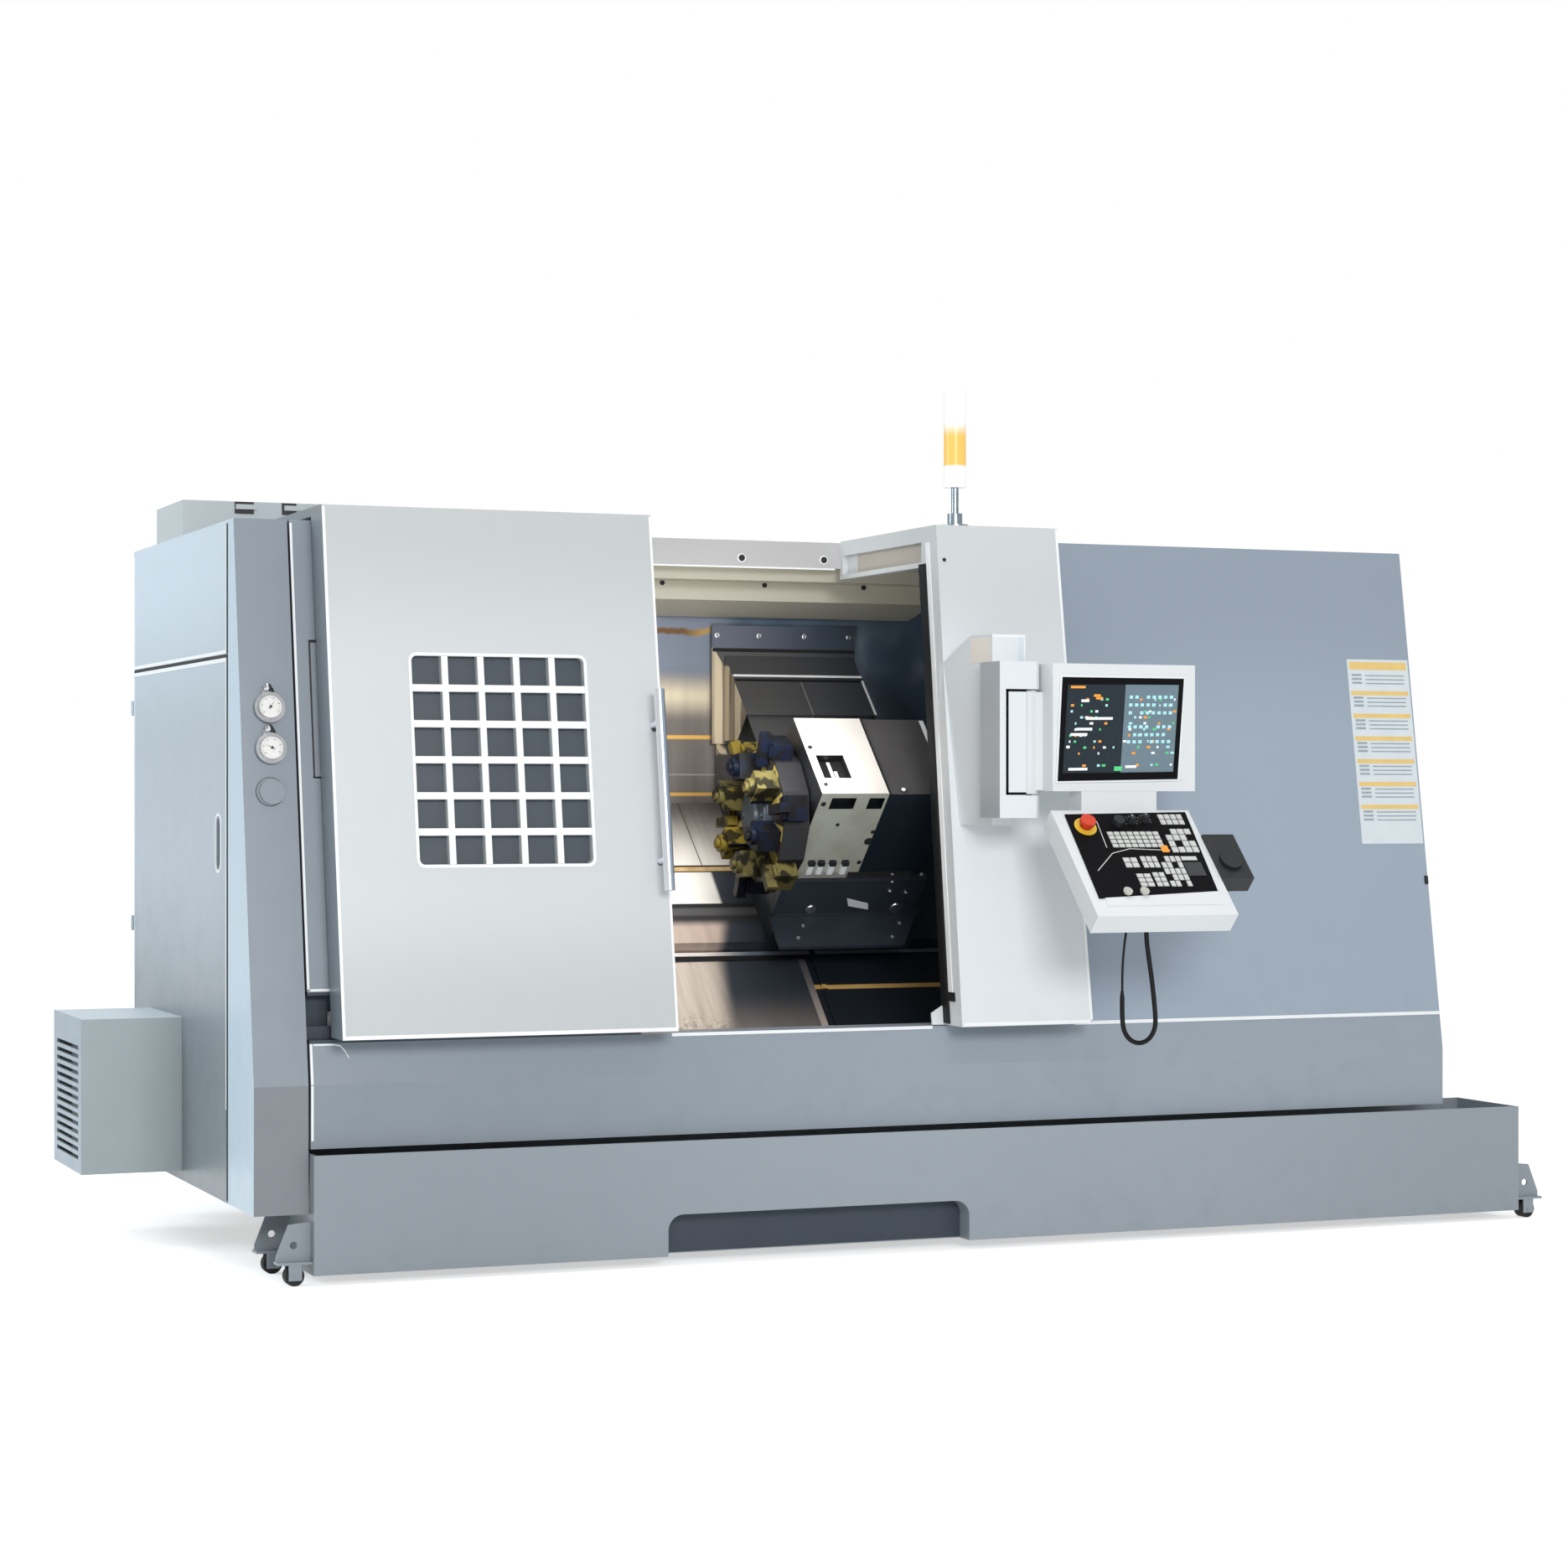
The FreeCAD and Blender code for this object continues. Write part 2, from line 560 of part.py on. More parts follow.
def chip_chute():
    """Folded sheet over the tailstock's ways, and the chute that drops chips from its foot into the tank."""
    bed_foot = bed_point(-250, -S("swing_off"))[1]
    left = S("guard_x") + 10
    chute = profile("chute", "YZ", [(478, bed_foot), (330, bed_foot), (232, 318), (228, 324),
                                    (327, bed_foot + 6), (478, bed_foot + 6)], left, S("chamber_right"))
    bed = -S("swing_off")
    sheet_top = -393
    cover = profile("low_cover", "YZ", [(188, bed), (188, sheet_top), (-253, sheet_top), (-253, bed + 4),
                                        (-250, bed + 4), (-250, sheet_top - 3), (185, sheet_top - 3), (185, bed)],
                    left, S("low_cover_right"))
    seat("chip_chute", fuse(chute, lean_back(cover)))


def electrical_cabinet():
    """Tall steel cabinet on the back, with a hinged door and two lifting plates on its top edge."""
    wall = 25
    left, right = S("cabinet_left"), S("cabinet_right")
    y = (S("cabinet_y"), S("cabinet_back"))
    z = (S("cabinet_z"), S("cabinet_top"))
    shell = box((left, right), y, z)
    inside = box((left + wall, right - wall), (y[0] + wall, y[1] + 10), (z[0] + wall, z[1] - wall))
    lugs = [box((x, x + 60), (y[0] - 8, y[0] + 1), (z[1] - 22, z[1] - 8)) for x in (150, 290)]
    legs = [box((x, x + 60), (y[0], y[1]), (0, z[0] + 5)) for x in (480, 1200)]
    rack = box((left + 120, right - 120), (y[0] + wall - 1, y[0] + 130), (z[0] + 120, z[1] - 160))
    pin_x, pin_y = right - 6, y[1] + 20
    plates = [box((right - 1, right + 3), (y[1] - 30, pin_y), (z_low, z_low + 20)) for z_low in CABINET_HINGES]
    seat("electrical_cabinet", fuse(cut(shell, inside), rack, *lugs, *legs, *plates,
                                    *fixed_knuckles(pin_x, pin_y, 6, CABINET_HINGES)))
    leaf = hung(box((left + 6, pin_x), (y[1] + 0.5, pin_y), (z[0] + 6, z[1] - 6)), pin_x, pin_y, 6,
                CABINET_HINGES)
    handle = box((left + 60, left + 84), (y[1] + 19, y[1] + 20 + 18), (1050, 1210))
    seat("cabinet_door", fuse(leaf, handle))


# ---- sliding door --------------------------------------------------------------------------------

def sliding_door():
    """L-shaped door pan: a leaning leaf whose top folds back as a roof, with a grid of panes."""
    skin, depth = S("door_skin"), S("door_deep")
    low, top, back = S("door_z"), S("door_top"), S("door_roof_back")
    left, right = S("door_left"), S("door_right")
    side = 25
    pan = profile("door_pan", "YZ",
                  [(door_y(low), low), (door_y(top), top), (back, top), (back, top - skin),
                   (door_y(top - skin) + depth, top - skin), (door_y(low) + depth, low)], left, right)
    hollow = profile("door_hollow", "YZ",
                     [(door_y(low + side) + skin, low + side), (door_y(top - skin) + skin, top - skin),
                      (door_y(top - skin) + depth + 30, top - skin), (door_y(low + side) + depth + 30, low + side)],
                     left + side, right - side)
    panes = []
    for column in range(5):
        for row in range(6):
            x = S("pane_x") + column * S("pane_step_x")
            z = S("pane_z") + row * S("pane_step_z")
            x_sides = (x - S("pane_wide") / 2, x + S("pane_wide") / 2)
            z_sides = (z - S("pane_high") / 2, z + S("pane_high") / 2)
            pane = box(x_sides, (-60, 160), z_sides)
            if column in (0, 4) and row in (0, 5):
                corner = (x_sides[column // 4].value, z_sides[row // 5].value)
                pane = round_edges(pane, 14, lambda edge: at_corner(edge, corner))
            panes.append(pane)
    opened = cut(cut(pan, hollow), group(panes))
    hook_arm = box((left + 5, left + 45), (50, 112), (640, 652))
    hook = box((left + 5, left + 45), (104, 112), (600, 641))
    seat("sliding_door", fuse(opened, hook_arm, hook))


def at_corner(edge, corner):
    """True for an edge that runs from front to back at a place given as X and Z."""
    middle = edge.BoundBox.Center
    return abs(middle.x - corner[0]) < 0.1 and abs(middle.z - corner[1]) < 0.1


def window_glass():
    """Laminated pane behind the door's grid."""
    low, top = 985, 1548
    start = S("door_skin") + 0.05
    outline = [(door_y(low) + start, low), (door_y(top) + start, top),
               (door_y(top) + start + 8, top), (door_y(low) + start + 8, low)]
    seat("window_glass", profile("glass", "YZ", outline, 240, 735))


def door_handle():
    """Round pull bar parallel to the leaning leaf, on two posts."""
    angle = math.degrees(math.atan(SIZES["lean"]))
    bar = doc.addObject("Part::Cylinder", "Bar")
    bind(bar, "Radius", S("handle_r"))
    bind(bar, "Height", (S("handle_top") - S("handle_z")) / math.cos(math.radians(angle)))
    bar.Placement = FreeCAD.Placement(FreeCAD.Vector(0, 0, 0), FreeCAD.Rotation(FreeCAD.Vector(1, 0, 0), -angle))
    bind(bar, "Placement.Base.x", S("handle_x"))
    bind(bar, "Placement.Base.y", door_y(S("handle_z")) - S("handle_off"))
    bind(bar, "Placement.Base.z", S("handle_z"))
    posts = []
    for z in (1013, 1353):
        posts.append(on_lean(9, S("handle_off") - 5, S("handle_x"), z, 0, S("door_ahead")))
    seat("door_handle", fuse(bar, *posts))


def door_rails():
    """Lower guide channel in front of the headstock, and its continuation behind the sill."""
    low, top = S("sill_z"), S("channel_top")
    outline = [(lean_y(low), low), (lean_y(low) + 70, low), (lean_y(low) + 70, top), (lean_y(top), top),
               (lean_y(top), top - 8), (lean_y(low) + 62, top - 8), (lean_y(low) + 62, low + 8),
               (lean_y(low), low + 8)]
    channel = profile("channel", "YZ", outline, S("cover_left"), S("cover_right"))
    strip = box((S("cover_left"), S("cover_right")), (lean_y(low) + 30, lean_y(low) + 42), (low + 7, low + 40))
    seat("door_rails", fuse(channel, strip))


# ---- headstock and spindle -----------------------------------------------------------------------

def bed_ways():
    """Four hardened box ways, a pair for the carriage and a pair for the tailstock, and screw blocks."""
    low, high = -S("swing_off"), -S("swing_off") + S("rail_high")
    ways = []
    for up, half in ((-190, 25), (60, 25), (270, 30), (600, 30)):
        ways.append(box((S("guard_x") + 15, S("bed_right") - 20), (up - half, up + half), (low, high)))
    for left in (805, 3060):
        block = box((left, left + 30), (S("screw_up") - 45, S("screw_up") + 45), (low, low + 46))
        bore = rod("x", S("screw_r") + S("running"), left - 5, left + 35, (S("screw_up"), -S("screw_off")))
        ways.append(cut(block, bore))
    seat("bed_ways", lean_back(group(ways)))


def headstock_casting():
    """Cast headstock with the spindle bore, bolted to the bed's left end."""
    outline = [(-230, -S("swing_off")), (310, -S("swing_off")), (300, -230), (170, 100), (120, 125), (-110, 125),
               (-150, 80), (-220, -230)]
    block = profile("headstock_block", "YZ", outline, S("bed_left"), 760)
    bore = rod("x", S("spindle_r") + S("running"), S("bed_left") - 10, 770, (0, 0))
    seat("headstock_casting", lean_back(cut(block, bore)))


def spindle():
    """Spindle with its nose flange in front and the driven pulley behind; chuck and three jaws."""
    centre = (0, 0)
    shaft = rod("x", S("spindle_r"), 130, S("chuck_left"), centre)
    nose = rod("x", 110, 760.4, S("chuck_left"), centre)
    pulley = rod("x", 112, 160, 230, centre)
    rims = [rod("x", 118, x, x + 5, centre) for x in (160, 225)]
    seat("spindle", lean_back(fuse(shaft, nose, pulley, *rims)))
    body = rod("x", S("chuck_r"), S("chuck_left"), S("chuck_right") - 10, centre)
    face = rod("x", S("chuck_r"), S("chuck_right") - 10, S("chuck_right"), centre, S("chuck_r") - 10)
    slots = [turned(box((S("chuck_right") - 14, S("chuck_right") + 5), (30, S("chuck_r") + 5), (-13, 13)), turn)
             for turn in (90, 210, 330)]
    seat("chuck_body", lean_back(cut(fuse(body, face), *slots)))
    for number, turn in enumerate((90, 210, 330), start=1):
        tenon = box((S("chuck_right") - 13.7, S("chuck_right") + 1), (62, 138), (-12.7, 12.7))
        steps = profile("jaw_steps", "XY", [(S("chuck_right") + 0.3, 60), (S("jaw_right"), 60), (S("jaw_right"), 84),
                                            (S("chuck_right") + 36, 84), (S("chuck_right") + 36, 112),
                                            (S("chuck_right") + 20, 112), (S("chuck_right") + 20, 140),
                                            (S("chuck_right") + 0.3, 140)], -20, 20)
        seat(f"chuck_jaw_{number}", lean_back(turned(fuse(tenon, steps), turn)))


def turned(part, degrees):
    """A piece drawn along +Y, turned about the spindle line and kept as one."""
    wrapped = group([part])
    wrapped.Placement = FreeCAD.Placement(FreeCAD.Vector(0, 0, 0),
                                          FreeCAD.Rotation(FreeCAD.Vector(1, 0, 0), degrees))
    return wrapped


MOTOR_UP = 500
MOTOR_OFF = -290
PULLEY_R = 80


def spindle_drive():
    """Main motor behind the headstock, its pulley, and the flat belt to the spindle."""
    centre = (MOTOR_UP, MOTOR_OFF)
    case = rod("x", 145, 265, 690, centre)
    foot = box((300, 660), (MOTOR_UP - 130, MOTOR_UP + 130), (-S("swing_off"), MOTOR_OFF - 100))
    nose = rod("x", 60, 250.5, 266, centre)
    seat("spindle_motor", lean_back(fuse(case, foot, nose)))
    hub = rod("x", PULLEY_R, 162, 228, centre)
    rims = [rod("x", PULLEY_R + 6, x, x + 3, centre) for x in (159, 228)]
    shaft = rod("x", 25, 159, 250.2, centre)
    seat("motor_pulley", lean_back(fuse(hub, shaft, *rims)))
    belt = doc.addObject("Part::Feature", "BeltLoop")
    belt.Shape = belt_loop(112.4, PULLEY_R + 0.4, 6, 168, 222)
    seat("drive_belt", lean_back(belt))


def belt_loop(big, small, thick, left, right):
    """An open belt round two pulleys: the outer outline less the inner one, padded along X."""
    outline = []
    for extra in (thick, 0):
        span = math.hypot(MOTOR_UP, MOTOR_OFF)
        bearing = math.atan2(MOTOR_OFF, MOTOR_UP)
        open_angle = math.acos((big - small) / span)
        centres = ((0, 0, big + extra), (MOTOR_UP, MOTOR_OFF, small + extra))

        def at(which, angle):
            up, off, radius = centres[which]
            return FreeCAD.Vector(left, up + radius * math.cos(angle), off + radius * math.sin(angle))

        high, low = bearing + open_angle, bearing - open_angle
        wire = Part.Wire([
            Part.Arc(at(0, high), at(0, bearing + math.pi), at(0, low)).toShape(),
            Part.LineSegment(at(0, low), at(1, low)).toShape(),
            Part.Arc(at(1, low), at(1, bearing), at(1, high)).toShape(),
            Part.LineSegment(at(1, high), at(0, high)).toShape()])
        outline.append(Part.Face(wire).extrude(FreeCAD.Vector(right - left, 0, 0)))
    return outline[0].cut(outline[1])


# ---- carriage, covers and turret -----------------------------------------------------------------

def saddle():
    """Carriage on the upper ways, with its nut block, foot plate, rear bracket and the slide's cover."""
    low = -S("swing_off") + S("rail_high") + S("way_gap")
    top = -S("slide_off")
    left, right = S("saddle_left"), S("saddle_right")
    block = lean_back(profile("saddle_block", "YZ", [(S("saddle_low"), low), (728, low), (872, top),
                                                     (S("saddle_low"), top)], left, right))
    nut = box((1700, 1790), (S("screw_up") - 34, S("screw_up") + 34), (-S("swing_off") + 1, low + 1))
    nut_bore = rod("x", S("screw_r") + S("running"), 1690, 1800, (S("screw_up"), -S("screw_off")))
    nut_block = lean_back(cut(nut, nut_bore))
    bracket = box((left - 14, right), (1123, 1133), (1325, 1665))
    cover_left, cover_right = left + 22, right - 5
    cover = lean_back(box((cover_left, cover_right), (800, 1058), (-66, -63)))
    lip = lean_back(box((cover_left, cover_right), (946, 951), (-64, -57)))
    sides = []
    for x in (cover_left, cover_right - 4):
        sides.append(lean_back(profile("cover_side", "YZ", [(800, -64), (1044, -64), (871, -237), (800, -166)],
                                       x, x + 4)))
    foot_low = S("saddle_low") + 1
    foot = lean_back(profile("foot_plate", "XY", [(left - 22, 84), (left + 345, 84), (left + 415, foot_low),
                                                  (left - 22, foot_low)], -265, -253))
    seat("saddle", fuse(block, nut_block, foot, bracket, cover, lip, *sides))


def way_cover(low_lip, off, left, right):
    """One folded steel plate over the carriage ways, its lower lip turned down."""
    return profile("way_plate", "YZ", [(low_lip, off), (735, off), (735, off + 3), (low_lip - 3, off + 3),
                                       (low_lip - 3, -392), (low_lip, -392)], left, right)


def way_covers():
    """Telescopic covers each side of the carriage: one plate fixed, one in the middle, one on it."""
    long_left, long_right = S("cover_long"), S("cover_long_right")
    left, right = S("saddle_left"), S("saddle_right")
    wall, end = S("guard_x") + 8, S("chamber_right")
    fixed = [way_cover(210, -380, wall, wall + long_left), way_cover(210, -380, end - long_right, end)]
    seat("fixed_way_covers", lean_back(group(fixed)))
    seat("left_middle_cover", lean_back(way_cover(204, -368, (wall + left - long_left) / 2,
                                                  (wall + left + long_left) / 2)))
    seat("right_middle_cover", lean_back(way_cover(204, -368, (end + right - long_right) / 2,
                                                   (end + right + long_right) / 2)))
    ends = [way_cover(198, -356, left - long_left, left - 0.3), way_cover(198, -356, right + 0.3, right + long_right)]
    seat("carriage_covers", lean_back(group(ends)))


def cross_slide():
    """Slide on the saddle's face, with its bevelled foot and its own cover plate."""
    low, top = -S("slide_off") + S("way_gap"), -S("slide_top")
    left, right = S("saddle_left") - 14, S("saddle_right") - 20
    foot = S("slide_low")
    block = profile("slide_block", "YZ", [(550, low), (550, top), (foot + 12, top), (foot, top - 12), (foot, low)],
                    left, right)
    riser = box((left, right), (538, 549), (top - 1, -88))
    cover_x = (S("saddle_left") + 32, S("saddle_right") - 16)
    plate = box(cover_x, (538, 700), (-90, -87))
    seat("cross_slide", lean_back(fuse(block, riser, plate)))
    seat("slide_middle_cover", lean_back(box(cover_x, (650, 870), (-78, -75))))


def turret_housing():
    """Turret case: a painted box square to the slant, with the motor hood on its right."""
    low, high, top = S("housing_low"), S("housing_high"), S("housing_top")
    slide, step, foot = -S("slide_top"), S("slide_low") + 2, -S("housing_foot")
    case = profile("case", "YZ", [(low, foot), (low, top), (high, top), (high, slide), (step, slide), (step, foot)],
                   S("housing_left"), S("housing_right"))
    hood = profile("hood", "YZ", [(low, foot), (low, top - 3), (high, top - 3), (high, slide), (step, slide),
                                  (step, foot)], S("housing_right") - 1, S("hood_right"))
    window = box((1453, 1532), (215, 302), (top - 30, top + 5))
    vents = [box(x, (low - 5, low + 25), (top - 59, top - 17)) for x in ((1464, 1535), (1572, 1617))]
    seat("turret_housing", lean_back(cut(fuse(case, hood), window, *vents)))


def turret():
    """Twelve-station disc with its hub plate, and the tool holders round its rim and on its face.

    The disc's centre is a little above the spindle's plane, so the stations are turned until the
    working tool's tip lies in that plane.
    """
    stations = 12
    step = 360 / stations
    turn = math.degrees(math.asin(SIZES["turret_off"] / (SIZES["tool_r"] - 4))) - step
    up, off = S("turret_up"), S("turret_off")
    radius = SIZES["disc_r"] / math.cos(math.radians(step / 2))
    corners = []
    for corner in range(stations):
        angle = math.radians(step * (corner + 0.5) + turn)
        corners.append((up + radius * math.cos(angle), off + radius * math.sin(angle)))
    disc = profile("disc", "YZ", corners, S("disc_left"), S("disc_right"))
    boss = rod("x", 70, S("disc_right") - 1, S("housing_left") - 0.4, (up, off))
    hub = rod("x", 92, S("disc_left") - 14, S("disc_left") + 1, (up, off))
    seat("turret_disc", lean_back(fuse(disc, boss, hub)))
    holders = []
    for station in range(stations):
        holder = rim_holder() if station % 2 else bar_holder()
        holder.Placement = FreeCAD.Placement(FreeCAD.Vector(0, SIZES["turret_up"], SIZES["turret_off"]),
                                             FreeCAD.Rotation(FreeCAD.Vector(1, 0, 0), step * station + turn))
        holders.append(holder)
    seat("tool_holders", lean_back(group(holders)))


def rim_holder():
    """Turning-tool holder clamped on a flat of the rim, with a square shank pointing outwards."""
    block = box((S("disc_left") - 5, S("disc_right") - 20), (S("disc_r"), S("disc_r") + 42), (-34, 34))
    shank = box((S("disc_left") - 32, S("disc_left") - 4), (S("disc_r") - 30, S("tool_r") - 4), (-13, 13))
    strap = box((S("disc_left") - 12, S("disc_left") - 4), (S("disc_r") + 4, S("disc_r") + 38), (-30, 30))
    return group([fuse(block, shank, strap)])


def bar_holder():
    """Boring-bar holder on the disc's face with its bar reaching towards the chuck."""
    block = box((S("disc_left") - 62, S("disc_left")), (S("disc_r") - 82, S("disc_r") - 12), (-29, 29))
    collar = rod("x", 24, S("disc_left") - 76, S("disc_left") - 61, (S("disc_r") - 47, 0))
    bar = rod("x", 13, S("disc_left") - 85, S("disc_left") - 75, (S("disc_r") - 47, 0))
    return group([fuse(block, collar, bar)])


def carriage_screw():
    """Ball screw between the ways, turning in its two blocks and in the carriage's nut."""
    shaft = rod("x", S("screw_r"), 800, 3092, (S("screw_up"), -S("screw_off")))
    collar = rod("x", 22, 3092, 3098, (S("screw_up"), -S("screw_off")))
    seat("carriage_screw", lean_back(fuse(shaft, collar)))


def tailstock():
    """Tailstock on the lower ways with its quill, live centre and the sliding sheet over its ways."""
    low = -S("swing_off") + S("rail_high") + S("way_gap")
    outline = [(-225, low), (100, low), (100, -340), (72, 40), (45, 72), (-45, 72), (-80, 30), (-225, -330)]
    block = profile("tail_block", "YZ", outline, S("tail_left"), S("tail_right"))
    bore = rod("x", S("quill_r") + S("running"), S("tail_left") - 10, S("tail_right") + 10, (0, 0))
    cover_left = S("tail_cover_left")
    cover = box((cover_left, S("tail_left") + 1), (-240, 186), (-391, -388))
    hem = box((cover_left, cover_left + 14), (-240, 186), (-389, -384))
    seat("tailstock", lean_back(fuse(cut(block, bore), cover, hem)))
    barrel = rod("x", S("quill_r"), S("quill_left"), S("tail_right") - 20, (0, 0))
    neck = rod("x", 26, S("quill_left") - 30, S("quill_left") + 1, (0, 0))
    point = rod("x", 0.5, S("point_left"), S("quill_left") - 29, (0, 0), 30)
    seat("quill", lean_back(fuse(barrel, neck, point)))


# ---- control pendant, lamp -----------------------------------------------------------------------

def pendant_arm():
    """C-shaped arm on the portal that holds the screen's pivot between its two lips."""
    left, front, back = S("arm_left"), S("arm_front"), S("arm_back")
    low, top = S("arm_z"), S("arm_top")
    spine = box((left, 1785), (front, back), (low, top))
    pivot = (S("pivot_x"), S("pivot_y"))
    upper = fuse(box((1784, 1814), (front, back), (1447, top)), rod("z", 29, 1447, top, pivot))
    lower = fuse(box((1784, 1814), (front, back), (low, 1177)), rod("z", 29, low, 1177, pivot))
    bore = rod("z", S("pin_r") + S("running"), low + 25, top - 35, pivot)
    seat("pendant_arm", cut(fuse(spine, upper, lower), bore))


def screen_housing():
    """Monitor case on its pivot hub, with the neck that carries the desk below it."""
    pivot = (S("pivot_x"), S("pivot_y"))
    hub = rod("z", 24, 1181, 1443, pivot)
    pin = rod("z", S("pin_r"), 1147, 1480, pivot)
    ear = box((S("pivot_x"), S("screen_left") + 2), (S("pivot_y") - 22, S("pivot_y") + 22), (1190, 1440))
    y = (S("screen_front"), S("screen_back"))
    case = box((S("screen_left"), S("screen_right")), y, (S("screen_z"), S("screen_top")))
    bezel = box((1872, 2214), (S("screen_front") - 5, S("screen_front") + 6), (1218, 1484))
    display = box((1886, 2200), (S("screen_front") - 10, S("screen_front") - 2), (1232, 1470))
    desk_line = S("desk_y") + S("desk_z")
    neck = profile("neck", "YZ", [(-257.7, S("screen_z") + 1), (-257.7, desk_line + 257.7), (-205, desk_line + 205),
                                  (-190, desk_line + 205), (-190, S("screen_z") + 1)], 1925, 2140)
    seat("screen_housing", fuse(hub, pin, ear, case, cut(bezel, display), neck))


def desk_place(part):
    """Turn a piece drawn flat under the desk's top edge down to the desk's 45 degree slope."""
    wrapped = group([part])
    wrapped.Placement = FreeCAD.Placement(FreeCAD.Vector(0, 0, 0), FreeCAD.Rotation(FreeCAD.Vector(1, 0, 0), 45))
    bind(wrapped, "Placement.Base.y", S("desk_y"))
    bind(wrapped, "Placement.Base.z", S("desk_z"))
    return wrapped


def on_desk(x, down, radius, low, high):
    """A round piece standing on the desk, down the slope from its top edge."""
    return rod("z", radius, low, high, (x, -down))


# Cables under the desk: points of each route in the machine's own axes, in real millimetres.
CABLE_ROUTE = [(2017, -432, 862), (2017, -432, 822), (2023, -435, 770), (2030, -439, 712),
               (2034, -444, 655), (2034, -450, 618), (2030, -454, 593), (2013, -456, 568),
               (1986, -457, 558), (1958, -457, 567), (1940, -457, 592), (1936, -456.5, 632),
               (1937, -456, 673)]
LEAD_ROUTE = [(1937, -456, 673), (1937.5, -455, 715), (1941, -451, 760), (1948, -446, 805),
              (1959, -437, 842), (1959, -437, 868)]


def keyboard_desk():
    """Sloping desk with a raised key field; its buttons and knob are separate pieces."""
    left, right, run, thick = S("desk_left"), S("desk_right"), S("desk_run"), S("desk_thick")
    slab = box((left, right), (-run, 0), (-thick, 0))
    field = box((left + 40, right - 30), (-run + 34, -28), (-1, 3))
    holes = [on_desk(x, down, radius + S("running"), -20, 10) for x, down, radius in DESK_BUTTONS.values()]
    desk = desk_place(cut(fuse(slab, field), *holes))
    glands = [rod("z", radius, x_y_z[2], x_y_z[2] + 40, x_y_z[:2])
              for radius, x_y_z in ((11, CABLE_ROUTE[0]), (7, LEAD_ROUTE[-1]))]
    seat("keyboard_desk", fuse(desk, *glands))


DESK_BUTTONS = {"stop": (1912, 62, 12), "start": (1945, 292, 9), "hold": (1992, 292, 9), "knob": (2006, 52, 6)}


def desk_buttons():
    """Mushroom stop button, two round push buttons and the feed override knob."""
    x, down, radius = DESK_BUTTONS["stop"]
    stop = fuse(on_desk(x, down, radius, -14, 18), on_desk(x, down, 20, 18, 30))
    seat("stop_button", desk_place(stop))
    for label in ("start", "hold"):
        x, down, radius = DESK_BUTTONS[label]
        seat(f"{label}_button", desk_place(fuse(on_desk(x, down, radius, -14, 8), on_desk(x, down, 12, 8, 13))))
    x, down, radius = DESK_BUTTONS["knob"]
    seat("feed_knob", desk_place(fuse(on_desk(x, down, radius, -12, 5), on_desk(x, down, 15, 5, 22))))


def handwheel_unit():
    """Pulse generator hung on the desk's right edge, with its round dial."""
    left = S("desk_right")
    case = box((left, left + 90), (-250, -95), (-40, 8))
    hole = on_desk(left + 45, 190, 6 + S("running"), -10, 20)
    seat("handwheel_unit", desk_place(cut(case, hole)))
    dial = fuse(on_desk(left + 45, 190, 6, -8, 10), on_desk(left + 45, 190, 30, 9, 17))
    seat("handwheel_dial", desk_place(dial))


def lamp():
    """Signal lamp: screwed flange and stem on the portal roof, and the lens stack above."""
    centre = (S("lamp_x"), S("lamp_y"))
    top = S("door_top")
    seat("lamp_stem", fuse(rod("z", 36, top, top + 14, centre), rod("z", 20, top + 13, top + 44, centre),
                           rod("z", 10, top + 43, top + 114, centre)))
    seat("lamp_lens", rod("z", 30, top + 114, S("lamp_top"), centre))


def tube(route, radius):
    """A cable's tube: straight runs joined by arcs as large as the runs allow."""
    points = [FreeCAD.Vector(*point) for point in route]
    edges = []
    start = points[0]
    for before, corner, after in zip(points, points[1:], points[2:]):
        into = (corner - before).normalize()
        out = (after - corner).normalize()
        turn = into.getAngle(out)
        reach = 0.45 * min((corner - before).Length, (after - corner).Length)
        first = corner - into * reach
        last = corner + out * reach
        radius_here = reach / math.tan(turn / 2)
        middle_line = (out - into).normalize()
        centre = corner + middle_line * (radius_here / math.cos(turn / 2))
        middle = centre - middle_line * radius_here
        edges.append(Part.LineSegment(start, first).toShape())
        edges.append(Part.Arc(first, middle, last).toShape())
        start = last
        print("bend radius", round(radius_here, 1), "mm")
    edges.append(Part.LineSegment(start, points[-1]).toShape())
    path = Part.Wire(edges)
    ring = Part.Wire(Part.Circle(points[0], points[1] - points[0], radius).toShape())
    solid = path.makePipeShell([ring], True, False)
    print("tube length", round(path.Length), "volume ratio",
          round(solid.Volume / (math.pi * radius ** 2 * path.Length), 4))
    return solid


def cables():
    """The pendant's own cable: a thick sleeve that hangs in a loop and the thin lead out of its end."""
    for label, route, radius in (("panel_cable", CABLE_ROUTE, "cable_r"), ("panel_lead", LEAD_ROUTE, "lead_r")):
        cable = doc.addObject("Part::Feature", "Tube")
        cable.Shape = tube(route, SIZES[radius])
        seat(label, cable)


# ---- build, check and write ----------------------------------------------------------------------

def check_and_write():
    doc.recompute()
    for thing in doc.Objects:
        if "Invalid" in thing.State or "Error" in thing.State:
            raise RuntimeError(f"{thing.Name} ({thing.Label}) failed: {thing.State}")
    os.makedirs("parts", exist_ok=True)
    for label, node in NODES.items():
        shape = node.Shape
        if shape.isNull() or not shape.isValid() or not shape.Solids:
            raise RuntimeError(f"{label} has no valid solid")
        shape.exportStep(f"parts/{label}.step")
    print(len(NODES), "pieces")


